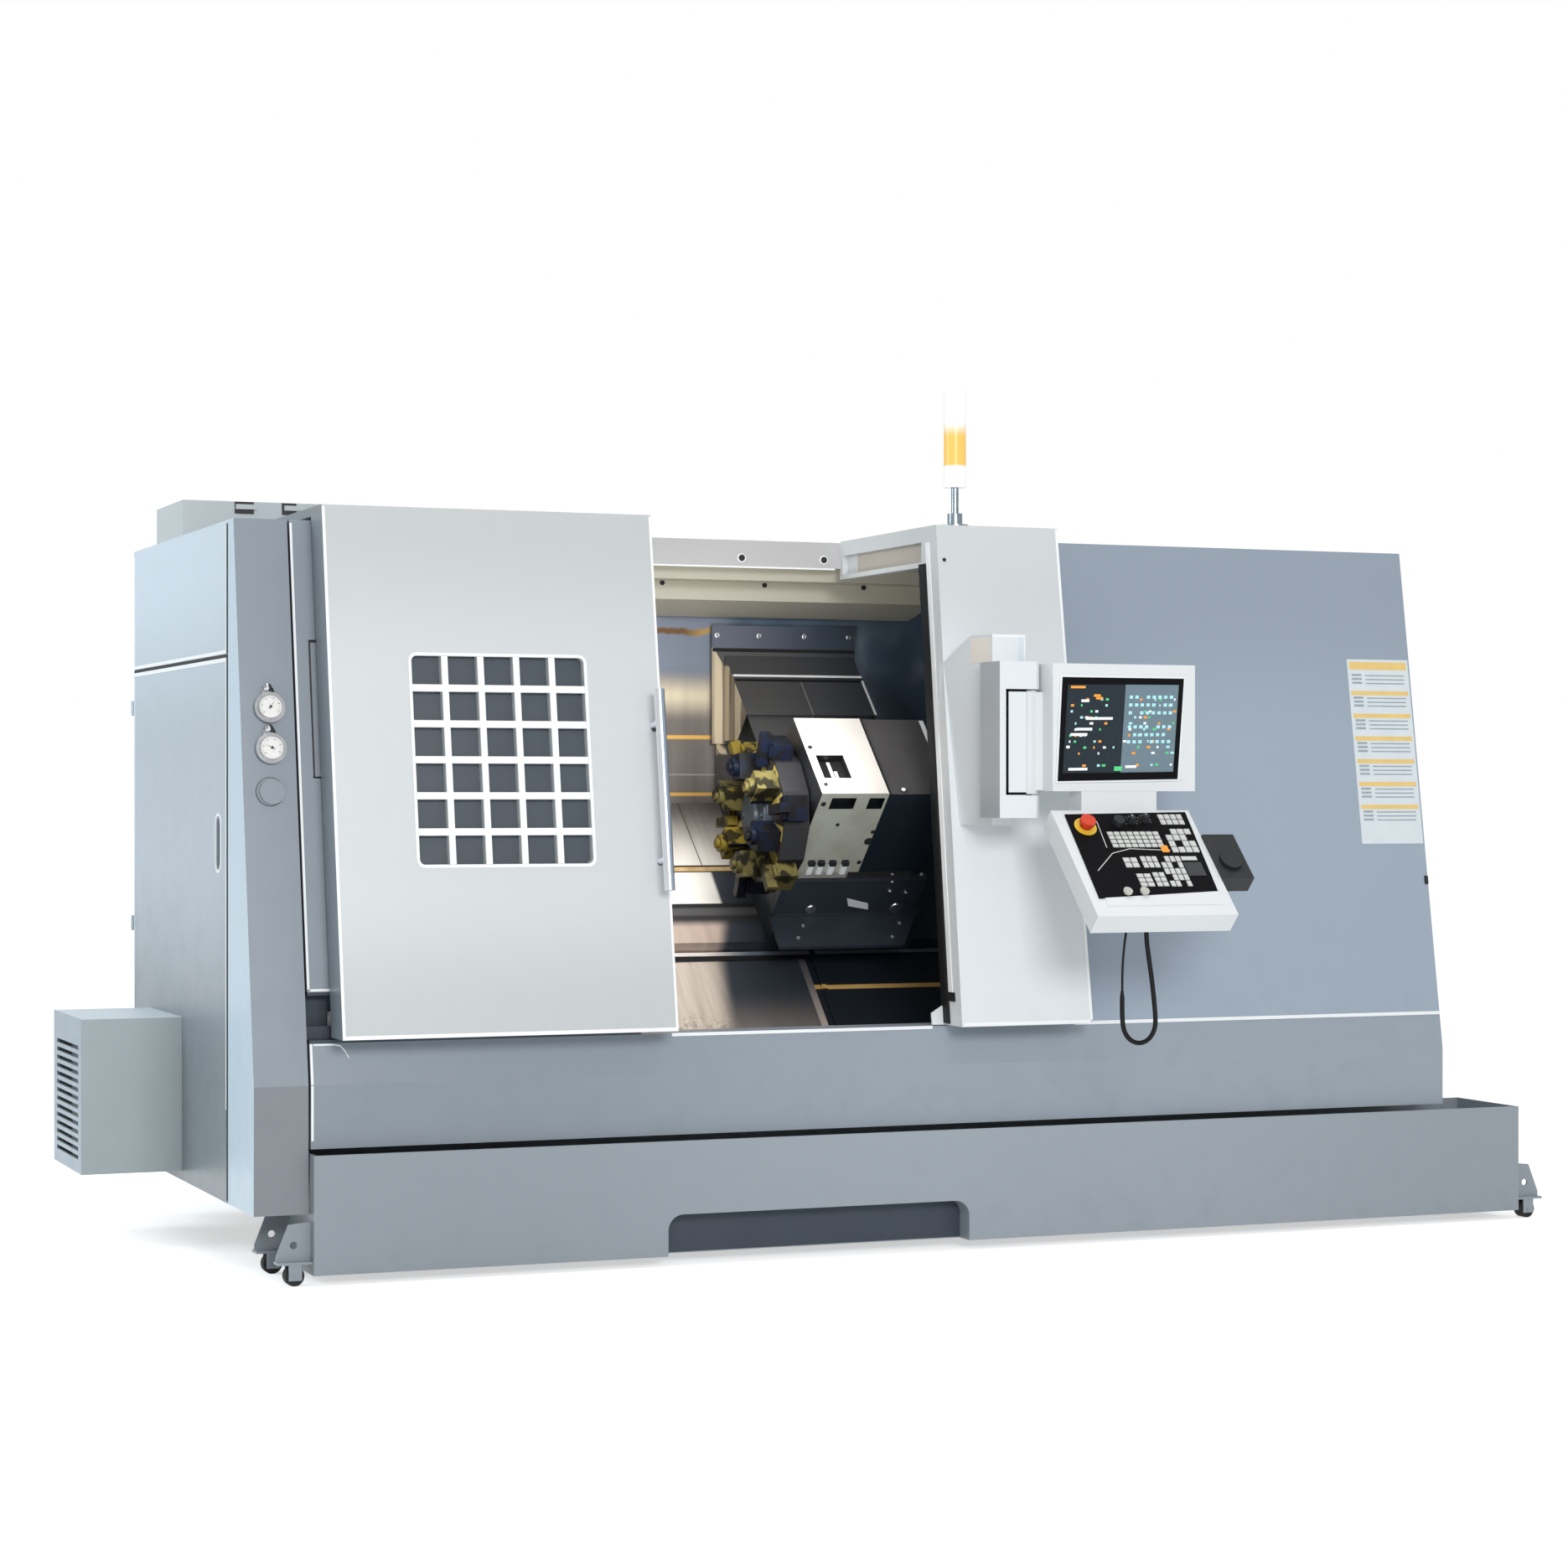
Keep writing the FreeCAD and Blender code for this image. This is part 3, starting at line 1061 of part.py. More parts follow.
for build in (base_casting, levelling_feet, coolant_tank, caster_wheels, front_apron, left_pillar,
              pressure_gauges, headstock_cover, left_side, cooler_box, portal, canopy_header, right_cover,
              chamber_lining, chip_chute, electrical_cabinet, sliding_door, window_glass, door_handle,
              door_rails, bed_ways, headstock_casting, spindle, spindle_drive, saddle, way_covers,
              cross_slide, turret_housing, turret, carriage_screw, tailstock, pendant_arm, screen_housing,
              keyboard_desk, desk_buttons, handwheel_unit, lamp, cables):
    build()
check_and_write()
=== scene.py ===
import bpy
import bmesh
import math
from mathutils import Matrix, Vector


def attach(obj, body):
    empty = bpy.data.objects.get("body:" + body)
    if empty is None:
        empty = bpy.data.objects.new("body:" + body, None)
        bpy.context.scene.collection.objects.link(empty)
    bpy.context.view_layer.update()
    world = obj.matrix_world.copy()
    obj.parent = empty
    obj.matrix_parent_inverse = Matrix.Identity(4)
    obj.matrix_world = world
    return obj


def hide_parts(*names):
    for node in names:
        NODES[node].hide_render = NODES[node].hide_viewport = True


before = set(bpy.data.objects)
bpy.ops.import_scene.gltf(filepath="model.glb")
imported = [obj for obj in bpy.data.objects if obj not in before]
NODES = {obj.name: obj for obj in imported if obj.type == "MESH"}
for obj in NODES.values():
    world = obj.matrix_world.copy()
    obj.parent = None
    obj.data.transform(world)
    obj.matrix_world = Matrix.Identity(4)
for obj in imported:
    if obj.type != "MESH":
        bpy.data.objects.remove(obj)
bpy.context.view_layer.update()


# ---- camera and studio ---------------------------------------------------------------------------
# The machine is seen from eye height, eight metres off its front left corner, turned 22 degrees.
# The lens is long, so its uprights stay upright and only the long edges run together.

TANK_CORNER = Vector((-1.5505, -0.70025, 0.0))     # the coolant tank's front left corner


def spot(x, y, z):
    """A place in metres from the tank's front left corner, in the frame's own coordinates."""
    return TANK_CORNER + Vector((x, y, z))


scene = bpy.context.scene
scene.view_settings.view_transform = "Standard"
eye = bpy.data.cameras.new("eye")
eye.sensor_width = 36
eye.lens = 76.66
eye.shift_y = 0.00668
camera = bpy.data.objects.new("camera", eye)
camera.location = spot(-1.953, -7.839, 1.1796)
camera.rotation_euler = (math.radians(90), 0, math.radians(-22))
scene.collection.objects.link(camera)
scene.camera = camera


def lamp_panel(name, place, aim, width, height, power, tint=(1, 1, 1)):
    """A soft rectangular studio lamp."""
    light = bpy.data.lights.new(name, "AREA")
    light.shape = "RECTANGLE"
    light.size = width
    light.size_y = height
    light.energy = power
    light.color = tint
    lamp = bpy.data.objects.new(name, light)
    lamp.location = place
    lamp.rotation_euler = (Vector(aim) - Vector(place)).to_track_quat("-Z", "Y").to_euler()
    lamp.visible_camera = False
    scene.collection.objects.link(lamp)


lamp_panel("front_lamp", (-1.6, -9.2, 3.4), (0.2, 0, 1.0), 2.6, 1.8, 330)
lamp_panel("left_lamp", (-5.5, 1.2, 3.4), (-1.6, 0.2, 1.3), 2.2, 2.6, 110, (0.86, 0.97, 1.0))
lamp_panel("roof_lamp", (0.0, -0.5, 6.5), (0, 0, 1.0), 5.0, 4.0, 110)
lamp_panel("room_lamp", spot(1.15, 0.22, 1.34), spot(1.30, 0.90, 1.08), 0.45, 0.2, 5.5,
           (1.0, 0.97, 0.92))


class Tone:
    """One value in a material's node tree, which can be added to, multiplied and so on."""

    def __init__(self, tree, socket):
        self.tree = tree
        self.socket = socket

    def maths(self, operation, first, second=None, clamp=False):
        node = self.tree.nodes.new("ShaderNodeMath")
        node.operation = operation
        node.use_clamp = clamp
        feed(self.tree, node.inputs[0], first)
        feed(self.tree, node.inputs[1], second)
        return Tone(self.tree, node.outputs[0])

    def __add__(self, other):
        return self.maths("ADD", self, other)

    def __radd__(self, other):
        return self.maths("ADD", other, self)

    def __sub__(self, other):
        return self.maths("SUBTRACT", self, other)

    def __rsub__(self, other):
        return self.maths("SUBTRACT", other, self)

    def __mul__(self, other):
        return self.maths("MULTIPLY", self, other)

    def __rmul__(self, other):
        return self.maths("MULTIPLY", other, self)

    def __truediv__(self, other):
        return self.maths("DIVIDE", self, other)

    def __mod__(self, other):
        return self.maths("FLOORED_MODULO", self, other)

    def clamped(self):
        return self.maths("ADD", self, 0.0, clamp=True)


def feed(tree, socket, value):
    """Link a Tone to a socket, or set the socket to a plain number, colour or vector."""
    if isinstance(value, Tone):
        tree.links.new(value.socket, socket)
    elif value is not None:
        if socket.type == "RGBA" and len(value) == 3:
            value = (*value, 1)
        socket.default_value = value


class Finish:
    """A new surface finish: a Principled shader and the tools that make its patterns."""

    def __init__(self, name, **plain):
        self.material = bpy.data.materials.new(name)
        self.material.use_nodes = True
        self.tree = self.material.node_tree
        self.shader = self.tree.nodes["Principled BSDF"]
        for socket, value in plain.items():
            self.wear(socket.replace("_", " "), value)

    def wear(self, socket, value):
        feed(self.tree, self.shader.inputs[socket], value)

    def node(self, kind, settings=None, inputs=None, output=0):
        """Any node: its settings first, then its sockets' values or links."""
        made = self.tree.nodes.new("ShaderNode" + kind)
        for name, value in (settings or {}).items():
            if name == "stops":
                set_stops(made.color_ramp, value)
            else:
                setattr(made, name, value)
        for socket, value in (inputs or {}).items():
            feed(self.tree, made.inputs[socket], value)
        return Tone(self.tree, made.outputs[output])

    def place(self):
        """Where a surface point is in the frame, in metres."""
        return self.node("TexCoord", output="Object")

    def along(self, axis):
        return self.node("SeparateXYZ", inputs={"Vector": self.place()}, output=axis)

    def grain(self, scale, detail=3, stretch=(1, 1, 1)):
        """Cloudy noise, drawn out along an axis by a small number in stretch."""
        turned = self.node("Mapping", inputs={"Vector": self.place(), "Scale": stretch})
        return self.node("TexNoise", inputs={"Vector": turned, "Scale": scale, "Detail": detail})

    def blend(self, mask, first, second):
        """First colour where the mask is 0, second where it is 1."""
        return self.node("Mix", {"data_type": "RGBA"}, {"Factor": mask, "A": first, "B": second},
                         output=2)

    def step(self, value, low, high):
        """0 below low, 1 above high, smooth between them."""
        return self.node("MapRange", {"interpolation_type": "SMOOTHSTEP"},
                         {"Value": value, "From Min": low, "From Max": high})

    def band(self, value, low, high, soft):
        """1 between two places, fading out over soft on both sides."""
        rise = self.step(value, low - soft, low + soft)
        return rise * (1 - self.step(value, high - soft, high + soft))

    def past(self, value, low, high, before, after):
        """One colour up to low, another from high on."""
        return self.blend(self.step(value, low, high), before, after)

    def relief(self, height, strength, distance=0.001):
        self.wear("Normal", self.node("Bump", inputs={"Height": height, "Strength": strength,
                                                      "Distance": distance}))


def set_stops(ramp, stops):
    """A stepped colour ramp's stops: (place, colour) pairs."""
    ramp.interpolation = "CONSTANT"
    while len(ramp.elements) < len(stops):
        ramp.elements.new(1.0)
    for element, (place, colour) in zip(ramp.elements, stops):
        element.position = place
        element.color = (*colour, 1)


FLOOR_GREY = (0.86, 0.87, 0.88)
FLOOR_GLOW = 0.55
RAYS = ("Camera", "Glossy", "Transmission")
floor_mesh = bpy.data.meshes.new("studio_floor")
floor_mesh.from_pydata([(-60, -40, 0), (60, -40, 0), (60, 90, 0), (-60, 90, 0)], [],
                       [(0, 1, 2, 3)])
floor = bpy.data.objects.new("studio_floor", floor_mesh)
scene.collection.objects.link(floor)
floor_finish = Finish("studio_floor", Base_Color=FLOOR_GREY, Roughness=0.9,
                      Specular_IOR_Level=0.1)
seen, mirrored, through = [floor_finish.node("LightPath", output=f"Is {ray} Ray")
                           for ray in RAYS]
floor_finish.wear("Emission Color", (1, 1, 1))
floor_finish.wear("Emission Strength", (seen + mirrored + through).clamped() * FLOOR_GLOW)
floor.data.materials.append(floor_finish.material)

WORLD_LEVEL = 0.55
world = bpy.data.worlds.new("studio")
scene.world = world
world.use_nodes = True
sky = world.node_tree.nodes["Background"]
paths = world.node_tree.nodes.new("ShaderNodeLightPath")
direct, glossy, clear = [Tone(world.node_tree, paths.outputs[f"Is {ray} Ray"]) for ray in RAYS]
shown = (direct + clear).clamped()
feed(world.node_tree, sky.inputs["Color"], (1, 1, 1))
feed(world.node_tree, sky.inputs["Strength"],
     WORLD_LEVEL + (1 - WORLD_LEVEL) * shown + 0.1 * glossy)


# ---- pendant cables ------------------------------------------------------------------------------
# The control panel's own cable: a thick black sleeve hangs from a gland under the desk in a narrow
# loop, and its thin lead comes out of the sleeve's end and goes back up into a second gland.

CABLE_WIDE = 0.012
LEAD_WIDE = 0.006
BOOT_LONG = 0.018
CABLE_ROUTE = [(2.017, -.432, .862), (2.017, -.432, .822), (2.023, -.435, .770),
               (2.030, -.439, .712), (2.034, -.444, .655), (2.034, -.450, .618),
               (2.030, -.454, .593), (2.013, -.456, .568), (1.986, -.457, .558),
               (1.958, -.457, .567), (1.940, -.457, .592), (1.936, -.4565, .632),
               (1.937, -.456, .673)]
LEAD_ROUTE = [(1.937, -.456, .673), (1.9375, -.455, .715), (1.941, -.451, .760),
              (1.948, -.446, .805), (1.959, -.437, .842), (1.959, -.437, .868)]


def cable(name, route, width, node):
    """A round cable on a smooth spline through its route's control points."""
    line = bpy.data.curves.new(name, "CURVE")
    line.dimensions = "3D"
    line.bevel_depth = width / 2
    line.bevel_resolution = 4
    line.resolution_u = 8
    line.use_fill_caps = True
    spline = line.splines.new("NURBS")
    spline.points.add(len(route) - 1)
    for point, place in zip(spline.points, route):
        point.co = (*spot(*place), 1)
    spline.order_u = 3
    spline.use_endpoint_u = True
    made = bpy.data.objects.new(name, line)
    scene.collection.objects.link(made)
    line.materials.append(cable_rubber.material)
    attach(made, "screen")
    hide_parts(node)
    return made


def solid_mesh(name, build, finish, body, bevel=0, smooth=False):
    """A piece whose faces build(bm) makes, with its sharp edges softened, riding on a body."""
    mesh = bpy.data.meshes.new(name)
    bm = bmesh.new()
    build(bm)
    bmesh.ops.recalc_face_normals(bm, faces=bm.faces)
    if bevel:
        sharp = [edge for edge in bm.edges if edge.calc_face_angle(0) > 0.5]
        bmesh.ops.bevel(bm, geom=sharp, offset=bevel, segments=2, affect="EDGES",
                        clamp_overlap=True)
    bm.to_mesh(mesh)
    bm.free()
    made = bpy.data.objects.new(name, mesh)
    scene.collection.objects.link(made)
    for face in mesh.polygons:
        face.use_smooth = smooth
    mesh.materials.append(finish.material)
    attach(made, body)
    return made


def add_disc(bm, place, radius, thick, facing, sides=32, top=None):
    """A round plate centred on place, standing thick along facing, up to its top's radius."""
    turn = Vector(facing).to_track_quat("Z", "Y").to_matrix().to_4x4()
    lift = Matrix.Translation((0, 0, thick / 2))
    bmesh.ops.create_cone(bm, cap_ends=True, segments=sides, radius1=radius,
                          radius2=top or radius, depth=thick,
                          matrix=Matrix.Translation(place) @ turn @ lift)


def end_boot(bm):
    """The short cone in which the sleeve ends round its lead."""
    add_disc(bm, spot(*CABLE_ROUTE[-1]) + Vector((0, 0.0003, 0)), CABLE_WIDE / 2, BOOT_LONG,
             (0, 0, 1), top=LEAD_WIDE / 2 + 0.0006)


cable_rubber = Finish("cable_rubber", Base_Color=(0.004, 0.004, 0.005), Specular_IOR_Level=0.2)
cable_rubber.wear("Roughness", 0.34 + 0.22 * cable_rubber.grain(90, 4))
cable_rubber.relief(cable_rubber.grain(900, 2), 0.15)
thick_cable = cable("panel_cable_sleeve", CABLE_ROUTE, CABLE_WIDE, "panel_cable")
thin_lead = cable("panel_cable_lead", LEAD_ROUTE, LEAD_WIDE, "panel_lead")
boot = solid_mesh("cable_end_boot", end_boot, cable_rubber, "screen")


# ---- painted sheet metal -------------------------------------------------------------------------
# Folded steel panels with baked powder paint: blue-grey on the body, near white on the door and the
# portal. The paint has a fine orange peel and slightly cloudy gloss, and grime gathers low down.
# Most fades below paint light and shade into the colour: painted gradients and painted side faces.

def dress(finish, *nodes):
    """Put a finish on CAD nodes."""
    for node in nodes:
        slots = NODES[node].data.materials
        slots.clear()
        slots.append(finish.material)


def sheet_paint(name, nodes, colour, fades=(), low=0.0, high=0.9, spread=0.035, gloss=0.36):
    """Powder paint on CAD nodes, with grime between two heights. A fade is an axis, two places on
    it and the colour that the paint has reached at the second one. Most fades here are painted
    light and shade."""
    paint = Finish(name)
    fine = paint.grain(14)
    dirt = (1 - paint.step(paint.along("Z"), low, high)) * paint.step(fine, 0.42, 0.8) * 0.08
    lighter = tuple(min(1, part * (1 + spread)) for part in colour)
    darker = tuple(part * (1 - spread) for part in colour)
    clean = paint.blend(paint.grain(1.6, 4), darker, lighter)
    for axis, start, end, faded in fades:
        clean = paint.past(paint.along(axis), start, end, clean, faded)
    soiled = tuple(part * left for part, left in zip(colour, (0.30, 0.31, 0.31)))
    paint.wear("Base Color", paint.blend(dirt, clean, soiled))
    paint.wear("Roughness", gloss - 0.05 + 0.12 * fine + 0.2 * dirt)
    paint.relief(paint.grain(700, 1), 0.03, 0.0004)
    dress(paint, *nodes)
    return paint


# Painted shade: the body paint darkens towards the machine's left end.
sheet_paint("body_paint", ("front_apron", "headstock_cover", "access_hatch"),
            (0.300, 0.350, 0.402), [("X", 0.4, -1.2, (0.234, 0.273, 0.314))], low=0.2, high=1.1)
# Painted light and shade: the tank is lightest in the middle and darker towards both ends.
sheet_paint("tank_paint", ("coolant_tank",), (0.312, 0.355, 0.395),
            [("X", 0.2, -1.3, (0.256, 0.291, 0.324)), ("X", 0.6, 1.8, (0.281, 0.320, 0.356))],
            high=0.35)
# The pillar paint turns darker below the fold. Its left face is painted pale blue-white: painted
# light.
pillar_paint = sheet_paint(
    "pillar_paint", ("left_pillar",), (0.224, 0.262, 0.304),
    [("Z", 0.482, 0.476, (0.205, 0.228, 0.252)), ("X", -1.6876, -1.6882, (0.50, 0.61, 0.70))],
    low=0.2, high=1.0)
# Painted shade: the portal darkens towards its top.
sheet_paint("portal_paint", ("portal",), (0.735, 0.770, 0.790),
            [("Z", 1.45, 1.75, (0.603, 0.631, 0.648))], low=0.4, spread=0.02, gloss=0.32)
# Painted light and shade on the door: it darkens towards its top and foot, and its left return face
# is painted dark.
DOOR_SHADE_GREY = (0.516, 0.542, 0.550)
door_paint = sheet_paint(
    "door_paint", ("sliding_door",), (0.600, 0.630, 0.640),
    [("Z", 1.45, 1.85, DOOR_SHADE_GREY), ("Z", 0.95, 0.65, DOOR_SHADE_GREY),
     ("X", -1.4946, -1.4952, (0.19, 0.22, 0.25))], low=0.4, spread=0.02, gloss=0.32)
# Painted shade: the right cover darkens towards its top.
sheet_paint("right_paint", ("right_cover",), (0.328, 0.392, 0.470),
            [("Z", 1.30, 1.75, (0.282, 0.337, 0.404))], low=0.5, high=1.0)
sheet_paint("cream_paint", ("canopy_header",), (0.460, 0.462, 0.470),
            [("Y", 0.10, 0.12, (0.50, 0.485, 0.405))], low=1.2, high=1.9, spread=0.06)
# Painted light and shade on the left end: pale blue-white towards the top, darker low down.
sheet_paint("side_paint", ("side_frame", "side_door"), (0.405, 0.470, 0.530),
            [("Z", 1.30, 1.75, (0.551, 0.639, 0.721)), ("Z", 1.05, 0.45, (0.180, 0.208, 0.234))],
            low=0.2, high=1.2)
# Painted light and shade by face: pale blue-white above 0.596 m on the cooler's top, darker
# blue-grey on its left face.
cooler_paint = sheet_paint(
    "cooler_paint", ("cooler_box",), (0.370, 0.425, 0.440),
    [("Z", 0.5958, 0.5966, (0.66, 0.74, 0.80)), ("X", -1.9490, -1.9500, (0.27, 0.34, 0.40))],
    low=0.1, high=0.8)
sheet_paint("cabinet_paint", ("electrical_cabinet", "cabinet_door"), (0.46, 0.51, 0.53),
            low=0.2, high=1.0)


# ---- painted edge highlights ---------------------------------------------------------------------
# Thin pale strips along the panels' folded edges are painted highlights: the bright line that each
# edge catches. They run along the sill, down the pillar's two edges and round the side panels,
# where a dark rubber seal shows beside them.

FOLD_Y, FOLD_Z, TILT = 0.040, 0.478, 0.16           # where the front starts to lean, and how far
STRETCH = 1.0127                                    # the leaning front's length for its height
SUNK = -0.0005                                      # a bead starts this far under the sheet
LEAN = Vector((0, -1, TILT)).normalized()           # square to the leaning panels, outwards
FLOOR = Matrix.Translation(TANK_CORNER)
SIDE = Matrix.Translation(spot(-0.138, 0, 0)) @ Matrix(
    ((0, 0, -1, 0), (1, 0, 0, 0), (0, 1, 0, 0), (0, 0, 0, 1)))


def front_y(z, ahead=0.0):
    """The leaning front panels' face at a height, or a face ahead of it."""
    return FOLD_Y + TILT * (z - FOLD_Z) - ahead


def leaning(ahead=0.0):
    """The leaning front: local x runs right, y up the panel from the fold, z out of it."""
    return (Matrix.Translation(spot(0, FOLD_Y - ahead, FOLD_Z))
            @ Matrix.Rotation(math.atan2(1, TILT), 4, "X"))


def up(z):
    """A height, measured up along the leaning front from its fold."""
    return (z - FOLD_Z) * STRETCH


def front(ahead=0.0):
    """The leaning front with the height from the floor as its y."""
    return (leaning(ahead) @ Matrix.Diagonal((1, STRETCH, 1, 1))
            @ Matrix.Translation((0, -FOLD_Z, 0)))


def add_walls(bm, rings):
    """The faces between each ring of corners and the next one."""
    for lower, upper in zip(rings, rings[1:]):
        for side in range(len(lower)):
            bm.faces.new((lower[side - 1], lower[side], upper[side], upper[side - 1]))


def add_solid(bm, rings):
    bm.faces.new(rings[0])
    bm.faces.new(rings[-1])
    add_walls(bm, rings)


def add_plate(bm, place, outline, low, high):
    """A flat plate of an outline in place's own plane, from one height out of it to another."""
    add_solid(bm, [[bm.verts.new(place @ Vector((x, y, out))) for x, y in outline]
                   for out in (low, high)])


def add_boxes(bm, place, *rows):
    """Boxes in place's own axes: from x to x, from y to y and from z to z."""
    for x_low, x_high, y_low, y_high, low, high in rows:
        add_plate(bm, place, [(x_low, y_low), (x_high, y_low), (x_high, y_high), (x_low, y_high)],
                  low, high)


def boxes(name, place, rows, finish, body, bevel=0):
    """A piece made of boxes alone."""
    solid_mesh(name, lambda bm: add_boxes(bm, place, *rows), finish, body, bevel)


def piece(finish, body, bevel=0, smooth=False):
    """Makes the function below it build a piece with the function's name."""
    return lambda build: solid_mesh(build.__name__, build, finish, body, bevel, smooth)


def mottled(name, scale, dark, light, rough=None, detail=3, **plain):
    """A finish clouded between two colours. Its roughness is rough's first number, plus its second
    times a grain of its third."""
    made = Finish(name, **plain)
    made.wear("Base Color", made.blend(made.grain(scale, detail), dark, light))
    if rough:
        made.wear("Roughness", rough[0] + rough[1] * made.grain(rough[2]))
    return made


# Near white: a painted highlight on edges and folds, and the own pale colour of washers, bolts and
# plugs.
pale_trim_and_highlight = mottled("pale_trim_and_edge_highlight", 9, (0.80, 0.83, 0.85), (0.90, 0.92, 0.93), Roughness=0.4)
seal_black = mottled("seal_black", 40, (0.010, 0.014, 0.019), (0.022, 0.030, 0.038),
                     Specular_IOR_Level=0.3, Roughness=0.6)


@piece(pale_trim_and_highlight, "machine")
def front_edge_highlights(bm):
    """Painted edge highlights of the sill, apron and pillar, and a rounded one at the sill's left.
    """
    for x_low, x_high, z_low, z_high in (
            (2.066, 3.193, 0.571, 0.580), (0.932, 1.652, 0.571, 0.579),
            (0.0015, 0.0075, 0.708, 1.850), (0.0025, 0.0085, 0.48, 0.577),
            (0.009, 0.095, 0.7025, 0.7085)):
        add_boxes(bm, front(), (x_low, x_high, z_low, z_high, SUNK, 0.0022))
    add_boxes(bm, FLOOR, (0.0025, 0.0085, 0.0378, 0.0405, 0.345, FOLD_Z))
    curve = [(0.012, 0.577), (0.062, 0.5765), (0.078, 0.573), (0.090, 0.560), (0.098, 0.544)]
    for (x, z), (next_x, next_z) in zip(curve, curve[1:]):
        run = [(x, z - 0.004), (next_x, next_z - 0.004), (next_x, next_z), (x, z)]
        add_plate(bm, front(), run, SUNK, 0.001)


for name, body, highlight_low, highlight_high, foot, top in (
        ("side_panel_edge_highlights", "machine", 1.528, 1.537, 1.537, 1.842),
        ("side_door_edge_highlights", "side_door", 1.508, 1.518, 0.40, 1.508)):
    boxes(name, SIDE, [(0.331, 1.500, highlight_low, highlight_high, SUNK, 0.0016),
                       (0.331, 0.338, foot, top, SUNK, 0.0016),
                       (1.494, 1.500, foot, top, SUNK, 0.0016)],
          pale_trim_and_highlight, body)
boxes("side_panel_seal", SIDE, [(0.3180, 0.3300, 1.5285, 1.850, 0, 0.0010)],
      seal_black, "machine")
boxes("side_door_seal", SIDE, [(0.3180, 0.3300, 0.176, 1.5265, 0, 0.0010),
                               (0.3300, 1.5000, 1.5185, 1.5265, 0, 0.0010)],
      seal_black, "side_door")


# ---- coolant tank --------------------------------------------------------------------------------
# A long folded steel tray on small casters that rolls out from under the front. A dark plate on the
# toe recess's back wall is painted shade, and each end has a bent bracket with a curved rod over
# the wheel.

dark_paint = mottled("dark_paint", 7, (0.032, 0.044, 0.062), (0.050, 0.066, 0.088),
                     (0.45, 0.15, 30), Specular_IOR_Level=0.4)
wheel_rubber = mottled("wheel_rubber", 60, (0.010, 0.010, 0.011), (0.035, 0.034, 0.033),
                       (0.55, 0.25, 120), Specular_IOR_Level=0.3)
# Painted shade: a dark plate on the toe recess's back wall.
boxes("toe_recess_painted_shade", FLOOR, [(0.899, 1.736, 0.0585, 0.0595, 0.028, 0.127)],
      dark_paint, "tank")
dress(wheel_rubber, "left_wheels", "right_wheels")


# ---- pressure gauges -----------------------------------------------------------------------------
# Two round hydraulic gauges in the pillar: a chromed ring, a white dial with plain graduation
# marks, a dark needle and a small zero knob. A grey blank plug closes the hole below them.

chrome = Finish("chrome_ring", Metallic=1.0, Base_Color=(0.52, 0.53, 0.55))
chrome.wear("Roughness", 0.07 + 0.1 * chrome.grain(40))
dress(chrome, "pressure_gauges")
dial_white = mottled("dial_white", 60, (0.74, 0.74, 0.72), (0.84, 0.84, 0.82))
mark_black = mottled("dial_marks", 200, (0.02, 0.02, 0.024), (0.04, 0.04, 0.045))
GAUGE_HEIGHTS = (1.290, 1.390)
GAUGE_X = -0.067
PLUG_Z = 1.186
ACROSS = Vector((1, 0, 0))
UPWARD = Vector((0, TILT, 1)).normalized()


def dial_place(z, out):
    return spot(GAUGE_X, front_y(z), z) + LEAN * out


def dial_ray(degrees):
    """The direction on a dial's face that a clock hand has at an angle."""
    return ACROSS * math.sin(math.radians(degrees)) + UPWARD * math.cos(math.radians(degrees))


@piece(dial_white, "machine")
def gauge_dials(bm):
    for z in GAUGE_HEIGHTS:
        add_disc(bm, dial_place(z, 0.0222), 0.027, 0.0006, LEAN, 40)


@piece(mark_black, "machine")
def gauge_marks_and_needles(bm):
    for z, degrees in zip(GAUGE_HEIGHTS, (-62, 35)):
        for mark in range(27):
            ray = dial_ray(-130 + 10 * mark)
            near, wide = (0.0185, 0.0007) if mark % 5 == 0 else (0.0215, 0.0004)
            side = ray.cross(LEAN) * wide
            base = dial_place(z, 0.0229)
            inner, outer = base + ray * near, base + ray * 0.0245
            bm.faces.new([bm.verts.new(corner) for corner in
                          (inner - side, inner + side, outer + side, outer - side)])
        ray = dial_ray(degrees)
        side = ray.cross(LEAN) * 0.0012
        base = dial_place(z, 0.0234)
        bm.faces.new([bm.verts.new(corner) for corner in
                      (base - ray * 0.007 - side, base - ray * 0.007 + side, base + ray * 0.021)])
        add_disc(bm, dial_place(z, 0.023), 0.0035, 0.0015, LEAN, 16)


@piece(chrome, "machine", 0.002, True)
def gauge_zero_knobs(bm):
    for z in GAUGE_HEIGHTS:
        knob = dial_place(z, 0.004) + UPWARD * 0.049 - ACROSS * 0.004
        collar = dial_place(z, 0.001) + UPWARD * 0.040 - ACROSS * 0.002
        add_disc(bm, knob, 0.010, 0.014, LEAN, 20)
        add_disc(bm, collar, 0.016, 0.006, LEAN, 24)


def add_plug(bm, radius, low, high):
    """A round plate of the blank plug, on the pillar under the gauges."""
    ring = [(GAUGE_X - 0.004 + radius * math.cos(math.tau * turn / 40),
             up(PLUG_Z) + radius * math.sin(math.tau * turn / 40)) for turn in range(40)]
    add_plate(bm, leaning(), ring, low, high)


@piece(mark_black, "machine")
def plug_ring(bm):
    add_plug(bm, 0.0358, SUNK, 0.0012)


@piece(pillar_paint, "machine", 0.0008)
def blank_plug(bm):
    add_plug(bm, 0.034, -0.001, 0.003)
    add_plug(bm, 0.029, 0.003, 0.0045)


# ---- access hatch --------------------------------------------------------------------------------
# A flush plate in the headstock cover, with a black recessed latch near its front edge. A black
# gap shows along its left and upper edges.

